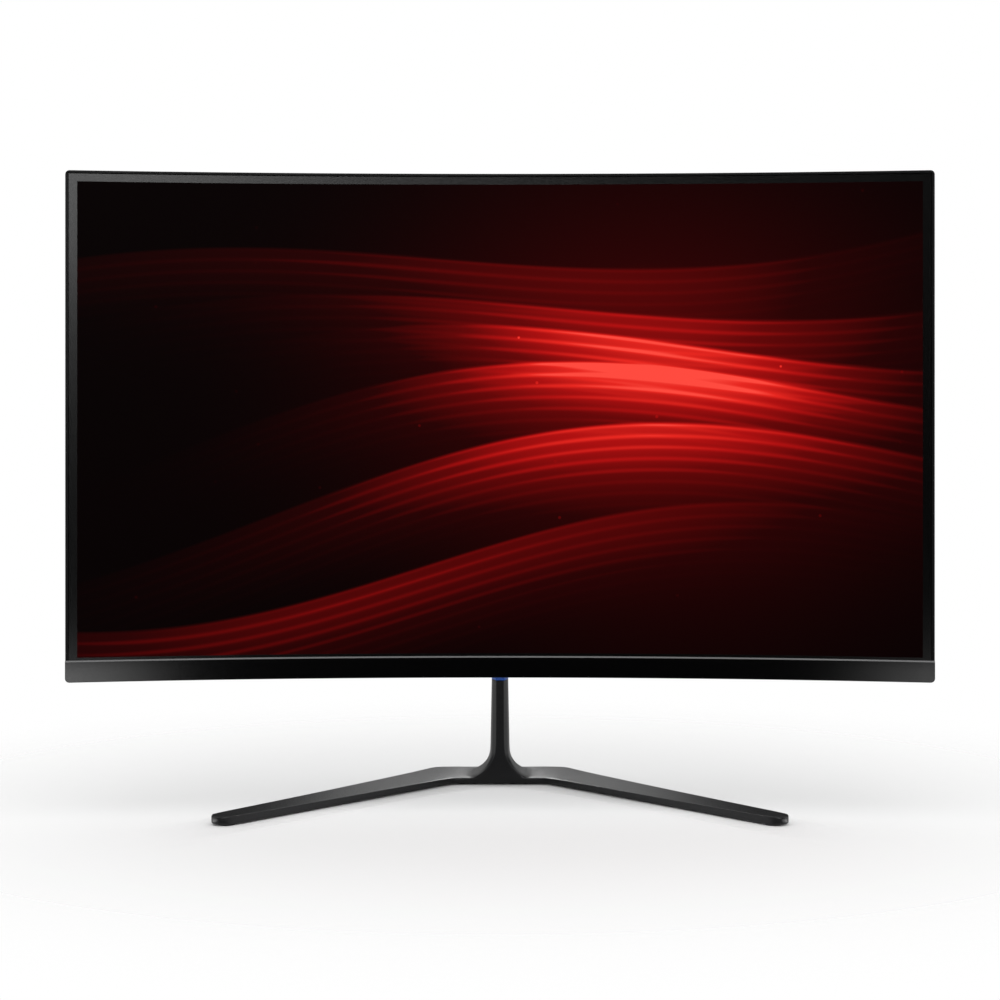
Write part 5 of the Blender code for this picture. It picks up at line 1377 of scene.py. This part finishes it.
@dataclass
class RearHousing:
    """The back of the head: the moulded cover, the hood over the hinge, the screws and the ports."""

    softness: float = 0.0005
    soft_angle: float = 25.0
    fold_width: float = 0.0016
    fold_steps: int = 4
    fold_length: float = 0.008
    fold_edge: float = 0.003
    fold_least: float = math.radians(12.0)
    fold_most: float = math.radians(28.0)
    brow: float = 0.0045
    brow_most: float = math.radians(34.0)
    screws: int = 4
    screw_steps: int = 40
    head_radius: float = 0.0034
    head_height: float = 0.0022
    head_edge: float = 0.0005
    shank: float = 0.0016
    socket: float = 0.0013
    socket_depth: float = 0.0011
    tongue_half: float = 0.0006
    tongue_depth: float = 0.0013
    low: Vector = field(init=False)
    high: Vector = field(init=False)

    def build(self) -> None:
        """Build all pieces of the back."""
        cover = Workpiece.copy_of("rear_cover", "rear_moulding")
        self.low, self.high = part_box("rear_cover")
        cover.pick("EDGE", self.is_fold).bevel(self.fold_width, self.fold_steps)
        brow = self.high.y - self.brow
        cover.smooth(self.soft_angle)
        cover.pick("EDGE", lambda edge: self.folds(edge, 0.0, self.brow_most)
                   and min(vert.co.y for vert in edge.verts) > brow).melt()
        cover.even().dress(MOULDED).fit(Body.HEAD, Slot.MOULDED_BLACK, "rear_cover")
        hood = Workpiece.copy_of("hinge_cover", "hinge_hood").softened(self.softness).smooth().even()
        hood.dress(MOULDED).fit(Body.HEAD, Slot.MOULDED_BLACK, "hinge_cover")
        for kind in ("cover", "hinge"):
            for k in range(1, self.screws + 1):
                self.screw(f"{kind}_screw_{k}", f"{kind}_bolt_{k}")
        for node in ("hdmi_port_1", "hdmi_port_2", "display_port"):
            self.port(node)

    def is_fold(self, edge: bmesh.types.BMEdge) -> bool:
        """Whether an edge is one of the shallow folds across the cover's back.

        Args:
            edge: The edge.

        Returns:
            Whether it is.
        """
        ends = [vert.co for vert in edge.verts]
        inside = all(abs(end.x) < self.high.x - self.fold_edge
                     and self.low.z + self.fold_edge < end.z < self.high.z - self.fold_edge for end in ends)
        level = abs(ends[0].y - ends[1].y) < edge.calc_length() / 2
        longer = edge.calc_length() > self.fold_length
        return inside and level and longer and self.folds(edge, self.fold_least, self.fold_most)

    def folds(self, edge: bmesh.types.BMEdge, least: float, most: float) -> bool:
        """Whether the faces at an edge meet at an angle between two limits."""
        return len(edge.link_faces) == 2 and least < edge.calc_face_angle() < most

    def screw(self, node: str, name: str) -> None:
        """A screw with a round-edged head and a hexagon socket, in the place of a node.

        Args:
            node: The node that it replaces.
            name: Name of the piece.
        """
        low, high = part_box(node)
        middle = (low + high) / 2
        top = high.y
        arc = rounded_edge(self.head_radius, self.head_edge)
        profile = [(0.0, 0.0), *arc, (self.head_radius, -self.head_height), (self.shank, -self.head_height),
                   (self.shank, low.y - top), (0.0, low.y - top)]
        screw = Workpiece.turned(name, profile, (middle.x, top, middle.z), (0, 1, 0), self.screw_steps)
        deep = (middle.x, top - self.socket_depth, middle.z)
        above = (middle.x, top + self.socket, middle.z)
        screw.cut_by(Workpiece.rod("hexagon", self.socket, deep, above, sides=6))
        screw.smooth().dress(BLACKENED).fit(Body.HEAD, Slot.DARK_STEEL, node)

    def port(self, node: str) -> None:
        """A port: a plated shell with a dark contact tongue.

        Args:
            node: The node that it replaces.
        """
        low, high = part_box(node)
        middle = (low.y + high.y) / 2
        port = Workpiece.copy_of(node, node.replace("port", "socket")).dress(STEEL)
        port.dress(SWITCH, lambda place, normal: abs(place.y - middle) < self.tongue_half + NEAR
                   and place.z < high.z - self.tongue_depth and abs(normal.x) < SIDEWAYS)
        port.fit(Body.HEAD, Slot.SHEET_STEEL, node)


@dataclass
class Controls:
    """The joystick's cap and the power button, turned about the line that they are pressed along."""

    cap_radius: float = 0.0063
    cap_proud: float = 0.004
    cap_dish: float = 0.0008
    cap_edge: float = 0.0006
    cap_bore: float = 0.0019
    cap_roof: float = 0.002
    button_radius: float = 0.0049
    button_proud: float = 0.0008
    button_edge: float = 0.0004
    button_dish: float = 0.0003
    button_stem: float = 0.0019
    flange: float = 0.0062
    flange_top: float = -0.003
    flange_low: float = -0.0041
    rings: int = 6

    def build(self) -> None:
        """Turn both pieces."""
        press = next(joint for joint in FRAME["joints"] if joint["name"] == "joystick_press")
        out = -Vector(press["axis"])
        self.cap(out)
        self.button(out)

    def seat(self, node: str, out: Vector) -> tuple[Vector, float]:
        """Where a turned node sits.

        Args:
            node: Name of the node.
            out: Direction that it points in.

        Returns:
            The point of its axis level with its outer end, and the reach of its inner end from there.
        """
        places = [vert.co for vert in FRAME["nodes"][node].data.vertices]
        low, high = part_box(node)
        middle = (low + high) / 2
        ends = [(place - middle).dot(out) for place in places]
        return middle + out * max(ends), min(ends) - max(ends)

    def dish(self, radius: float, depth: float) -> list[Pair]:
        """A shallow dish from the axis out to a radius, as part of a profile."""
        shares = [k / self.rings for k in range(self.rings)]
        return [(radius * share, -depth * (1 - share ** 2)) for share in shares]

    def cap(self, out: Vector) -> None:
        """The dished cap of the joystick, hollow where it takes the stem.

        Args:
            out: Direction that it points in.
        """
        top, _ = self.seat("joystick_cap", out)
        profile = self.dish(self.cap_radius - self.cap_edge, self.cap_dish)
        profile += rounded_edge(self.cap_radius, self.cap_edge)
        profile += [(self.cap_radius, -self.cap_proud), (self.cap_bore, -self.cap_proud),
                    (self.cap_bore, self.cap_roof - self.cap_proud), (0.0, self.cap_roof - self.cap_proud)]
        cap = Workpiece.turned("joystick_knob", profile, top, out)
        cap.smooth().dress(SWITCH).fit(Body.JOYSTICK_CAP, Slot.SWITCH_BLACK, "joystick_cap")

    def button(self, out: Vector) -> None:
        """The power button with its flange under the cover and its stem towards the switch.

        Args:
            out: Direction that it points in.
        """
        top, reach = self.seat("power_button", out)
        profile = self.dish(self.button_radius - self.button_edge, self.button_dish)
        profile += rounded_edge(self.button_radius, self.button_edge)
        shelf, low = self.flange_top - self.button_proud, self.flange_low - self.button_proud
        profile += [(self.button_radius, shelf), (self.flange, shelf), (self.flange, low),
                    (self.button_stem, low), (self.button_stem, reach), (0.0, reach)]
        button = Workpiece.turned("power_key", profile, top, out)
        button.smooth().dress(SWITCH).fit(Body.POWER_BUTTON, Slot.SWITCH_BLACK, "power_button")


@dataclass
class InnerParts:
    """The nodes whose shape is right as it is: each gets its finish."""

    dressed: tuple[tuple[Finish, tuple[str, ...]], ...] = (
        (STEEL, ("neck_tongue", "hinge_washer_left", "hinge_washer_right", "hinge_spring_washer",
                 "backlight_chassis", "board_shield", "mount_plate", "vesa_insert_1", "vesa_insert_2",
                 "vesa_insert_3", "vesa_insert_4")),
        (BLACKENED, ("hinge_bracket", "hinge_pin", "hinge_nut")),
        (BOARD, ("panel_driver_board", "main_board", "control_board", "led_bar")),
        (SWITCH, ("audio_jack", "dc_jack", "power_switch", "joystick_housing", "joystick_yoke",
                  "joystick_stem")),
        (FILM, ("film_stack", "reflector_sheet")),
        (GUIDE, ("light_guide",)),
        (SLEEVE, ("panel_cable", "control_cable")),
    )

    def build(self) -> None:
        """Dress the nodes."""
        for finish, nodes in self.dressed:
            for node in nodes:
                slots = FRAME["nodes"][node].data.materials
                slots.clear()
                slots.append(finish.build())
                LOG.info("%s is dressed in %s", node, finish.name)


@dataclass(frozen=True)
class Card:
    """A flat card that only reflections see, with its light graded by the distance from the plane x = 0.

    Attributes:
        name: Name of the card.
        low: Its lowest corner.
        high: Its highest corner.
        inner: Strength of its light up to the near distance.
        outer: Strength of its light from the far distance on.
        near: Distance where the light starts to change.
        far: Distance where it ends changing.
    """

    name: str
    low: Point
    high: Point
    inner: float = 0.0
    outer: float = 0.0
    near: float = 0.0
    far: float = 1.0

    def build(self) -> None:
        """Stand or lay the card in place."""
        clear_bench()
        bpy.ops.mesh.primitive_plane_add(size=1.0)
        card = bpy.context.object
        span = Vector(self.high) - Vector(self.low)
        upright = span.z > span.y
        card.location = (Vector(self.low) + Vector(self.high)) / 2
        card.scale = (span.x, span.z if upright else span.y, 1.0)
        card.rotation_euler.x = math.radians(90.0) if upright else 0.0
        Workpiece(card, self.name).applied()
        sheet = ShaderSheet(self.name)
        shine = sheet.node("ShaderNodeEmission")
        away = sheet.sums("ABSOLUTE", sheet.axes()[0])
        sheet.feed(shine.inputs["Strength"], sheet.fade(away, self.near, self.far, self.inner, self.outer))
        sheet.links.new(shine.outputs[0], sheet.nodes["Material Output"].inputs["Surface"])
        card.data.materials.append(sheet.material)
        for ray in ("camera", "diffuse", "transmission", "volume_scatter", "shadow"):
            setattr(card, f"visible_{ray}", False)


@dataclass
class Studio:
    """The pale floor, the soft light and the camera."""

    fill: float = 0.84
    floor_radius: float = 6.0
    floor_sides: int = 96
    floor_colour: Colour = (0.94, 0.94, 0.94)
    floor_roughness: float = 0.9
    floor_share: float = 0.7
    floor_reach: Pair = (0.22, 0.62)
    shade_turn: float = math.radians(38.4)
    shade_bend: float = 0.03
    shade_place: float = 0.084
    shade_width: Pair = (0.02, 0.034)
    shade_reach: Pair = (0.2, 0.3)
    lamp_place: Point = (0.0, -0.5, 1.7)
    lamp_aim: Point = (0.0, 0.0, 0.25)
    lamp_size: Pair = (1.6, 1.2)
    lamp_power: float = 7.0
    wall_distance: float = 3.0
    screen_distance: float = 0.5
    floor_distance: float = 0.15
    card_lift: float = 0.0006
    tip_lift: float = 0.0008
    tip_outer: float = 0.26
    tip_inner: float = 0.181
    tip_shade: float = 0.063
    tip_glow: float = 0.205
    tip_glow_reach: Pair = (0.08, 0.053)
    tip_glow_light: float = 6.0
    camera_distance: float = 1.780
    camera_height: float = 0.305
    lens: float = 89.46
    sensor: float = 36.0
    shift: float = -0.114

    def build(self, front: float) -> None:
        """Set the stage.

        Args:
            front: Depth of the screen's front, from which the camera keeps its distance.
        """
        self.world()
        self.floor()
        self.lamp()
        for card in self.cards(front):
            card.build()
        self.camera(front)
        bpy.context.scene.view_settings.view_transform = "Standard"

    def world(self) -> None:
        """Soft light from all round, and plain white to the camera and in reflections."""
        world = bpy.data.worlds.new("studio_world")
        world.use_nodes = True
        bpy.context.scene.world = world
        nodes, links = world.node_tree.nodes, world.node_tree.links
        soft, white = nodes["Background"], nodes.new("ShaderNodeBackground")
        for background, strength in ((soft, self.fill), (white, 1.0)):
            background.inputs["Color"].default_value = WHITE
            background.inputs["Strength"].default_value = strength
        path = nodes.new("ShaderNodeLightPath")
        seen = path.outputs["Is Camera Ray"]
        for name in ("Is Glossy Ray", "Is Transmission Ray"):
            either = nodes.new("ShaderNodeMath")
            either.operation = "MAXIMUM"
            links.new(seen, either.inputs[0])
            links.new(path.outputs[name], either.inputs[1])
            seen = either.outputs[0]
        mix = nodes.new("ShaderNodeMixShader")
        links.new(seen, mix.inputs[0])
        links.new(soft.outputs[0], mix.inputs[1])
        links.new(white.outputs[0], mix.inputs[2])
        links.new(mix.outputs[0], nodes["World Output"].inputs["Surface"])

    def floor(self) -> None:
        """A pale round floor that lets the white background through, except where the legs shade it."""
        clear_bench()
        bpy.ops.mesh.primitive_circle_add(vertices=self.floor_sides, radius=self.floor_radius,
                                          fill_type="NGON")
        floor = bpy.context.object
        floor.name = "studio_floor"
        sheet = ShaderSheet("studio_floor")
        sheet.shade(Base_Color=(*self.floor_colour, 1.0), Roughness=self.floor_roughness)
        sheet.shade(Specular_IOR_Level=0.0, Alpha=self.solidity(sheet))
        floor.data.materials.append(sheet.material)

    def solidity(self, sheet: ShaderSheet) -> Socket:
        """How solid the floor is: it fades out away from the object, and a band under the legs is solid.

        Args:
            sheet: The sheet of the floor.

        Returns:
            The alpha of the floor.
        """
        x, y, _ = sheet.axes()
        square = sheet.sums("MULTIPLY", x, x)
        reach = sheet.sums("SQRT", sheet.sums("MULTIPLY_ADD", y, y, square))
        bent = sheet.sums("SQRT", sheet.sums("ADD", square, self.shade_bend ** 2))
        across = sheet.sums("MULTIPLY", bent, math.cos(self.shade_turn))
        across = sheet.sums("MULTIPLY_ADD", y, math.sin(self.shade_turn), across)
        off = sheet.sums("ABSOLUTE", sheet.sums("SUBTRACT", across, self.shade_place))
        ends = sheet.fade(reach, *self.shade_reach, 1.0 - self.floor_share, 0.0)
        shade = sheet.sums("MULTIPLY", sheet.fade(off, *self.shade_width, 1.0, 0.0), ends)
        return sheet.sums("ADD", sheet.fade(reach, *self.floor_reach, self.floor_share, 0.0), shade)

    def lamp(self) -> None:
        """A soft rectangular lamp overhead that looks at the object."""
        light = bpy.data.lights.new("overhead_softbox", "AREA")
        light.shape = "RECTANGLE"
        light.size, light.size_y = self.lamp_size
        light.energy = self.lamp_power
        item = bpy.data.objects.new("overhead_softbox", light)
        item.location = self.lamp_place
        sight = Vector(self.lamp_aim) - Vector(self.lamp_place)
        item.rotation_euler = sight.to_track_quat("-Z", "Y").to_euler()
        bpy.context.scene.collection.objects.link(item)

    def cards(self, front: float) -> list[Card]:
        """Cards that only reflections see, as a studio sets them up for a glossy black product.

        Args:
            front: Depth of the screen's front.

        Returns:
            The cards.
        """
        wall, screen = front - self.wall_distance, front - self.screen_distance
        edge, low = front - self.floor_distance, self.card_lift
        return [
            Card("dark_wall", (-4.5, wall, 0.0), (4.5, wall, 4.0)),
            Card("dark_floor", (-1.5, wall, low), (1.5, edge, low)),
            Card("neck_floor", (-0.035, edge, low), (0.035, 0.06, low), inner=0.2, outer=0.2),
            *self.tip_cards(front, "left", -1),
            *self.tip_cards(front, "right", 1),
            Card("rear_floor", (-1.2, 0.13, low), (1.2, 0.79, low), inner=0.4, outer=0.4),
            Card("border_glow", (0.2, wall + 0.1, 0.55), (1.5, wall + 0.1, 1.4), inner=7.5, outer=7.5),
            Card("chin_glow_left", (-0.30, screen, 0.001), (-0.09, screen, 0.058),
                 inner=0.0, outer=3.3, near=0.135, far=0.20),
            Card("chin_glow_right", (0.09, screen, 0.001), (0.30, screen, 0.058),
                 inner=0.0, outer=1.8, near=0.145, far=0.20),
            Card("leg_glow", (-1.2, 0.80, low), (1.2, 0.80, 0.8),
                 inner=0.47, outer=0.03, near=0.13, far=0.25),
            Card("hub_glow_low", (-0.080, 0.79, low), (0.080, 0.79, 0.2),
                 inner=0.0, outer=0.3, near=0.04, far=0.08),
            Card("hub_glow_high", (-0.036, 0.79, 0.2), (0.036, 0.79, 0.8), inner=6.8, outer=6.8),
            Card("chamfer_glow", (-0.8, front - 0.4, 1.6), (0.8, front + 0.4, 1.6),
                 inner=3.6, outer=7.0, near=0.1, far=0.5),
        ]

    def tip_cards(self, front: float, name: str, side: int) -> list[Card]:
        """A dark and a bright card beside the tip of a leg.

        Args:
            front: Depth of the screen's front.
            name: Name of the side.
            side: -1 for the left leg, 1 for the right one.

        Returns:
            The cards.
        """
        dark_low, dark_high = sorted((side * self.tip_inner, side * self.tip_outer))
        glow_low, glow_high = sorted((side * self.tip_glow, side * self.tip_outer))
        glow_front, glow_back = (front - reach for reach in self.tip_glow_reach)
        low, high, light = self.card_lift, self.tip_lift, self.tip_glow_light
        return [
            Card(f"tip_shade_{name}", (dark_low, front - self.floor_distance, low),
                 (dark_high, front - self.tip_shade, low)),
            Card(f"tip_glow_{name}", (glow_low, glow_front, high), (glow_high, glow_back, high),
                 inner=light, outer=light),
        ]

    def camera(self, front: float) -> None:
        """The camera at the photograph's viewing angle.

        Args:
            front: Depth of the screen's front.
        """
        data = bpy.data.cameras.new("camera")
        data.sensor_width = self.sensor
        data.lens = self.lens
        data.shift_y = self.shift
        item = bpy.data.objects.new("camera", data)
        item.location = (0.0, front - self.camera_distance, self.camera_height)
        item.rotation_euler = (math.radians(90.0), 0.0, 0.0)
        bpy.context.scene.collection.objects.link(item)
        bpy.context.scene.camera = item


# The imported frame: its nodes, joints and record.
with open("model.json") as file:
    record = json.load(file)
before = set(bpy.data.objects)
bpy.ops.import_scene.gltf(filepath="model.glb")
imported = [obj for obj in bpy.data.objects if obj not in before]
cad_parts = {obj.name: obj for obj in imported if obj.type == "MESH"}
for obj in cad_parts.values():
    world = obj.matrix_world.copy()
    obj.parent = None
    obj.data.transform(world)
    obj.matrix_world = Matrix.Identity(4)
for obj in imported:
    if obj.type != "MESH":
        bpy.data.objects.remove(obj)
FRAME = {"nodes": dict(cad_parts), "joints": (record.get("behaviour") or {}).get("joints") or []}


def main() -> None:
    """Build the object piece by piece, then its studio."""
    logging.basicConfig(level=logging.INFO, format="%(name)s: %(message)s")
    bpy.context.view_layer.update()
    head = ScreenHead()
    head.build()
    Stand().build()
    RearHousing().build()
    Controls().build()
    InnerParts().build()
    Studio().build(head.front)


if __name__ == "__main__":
    main()
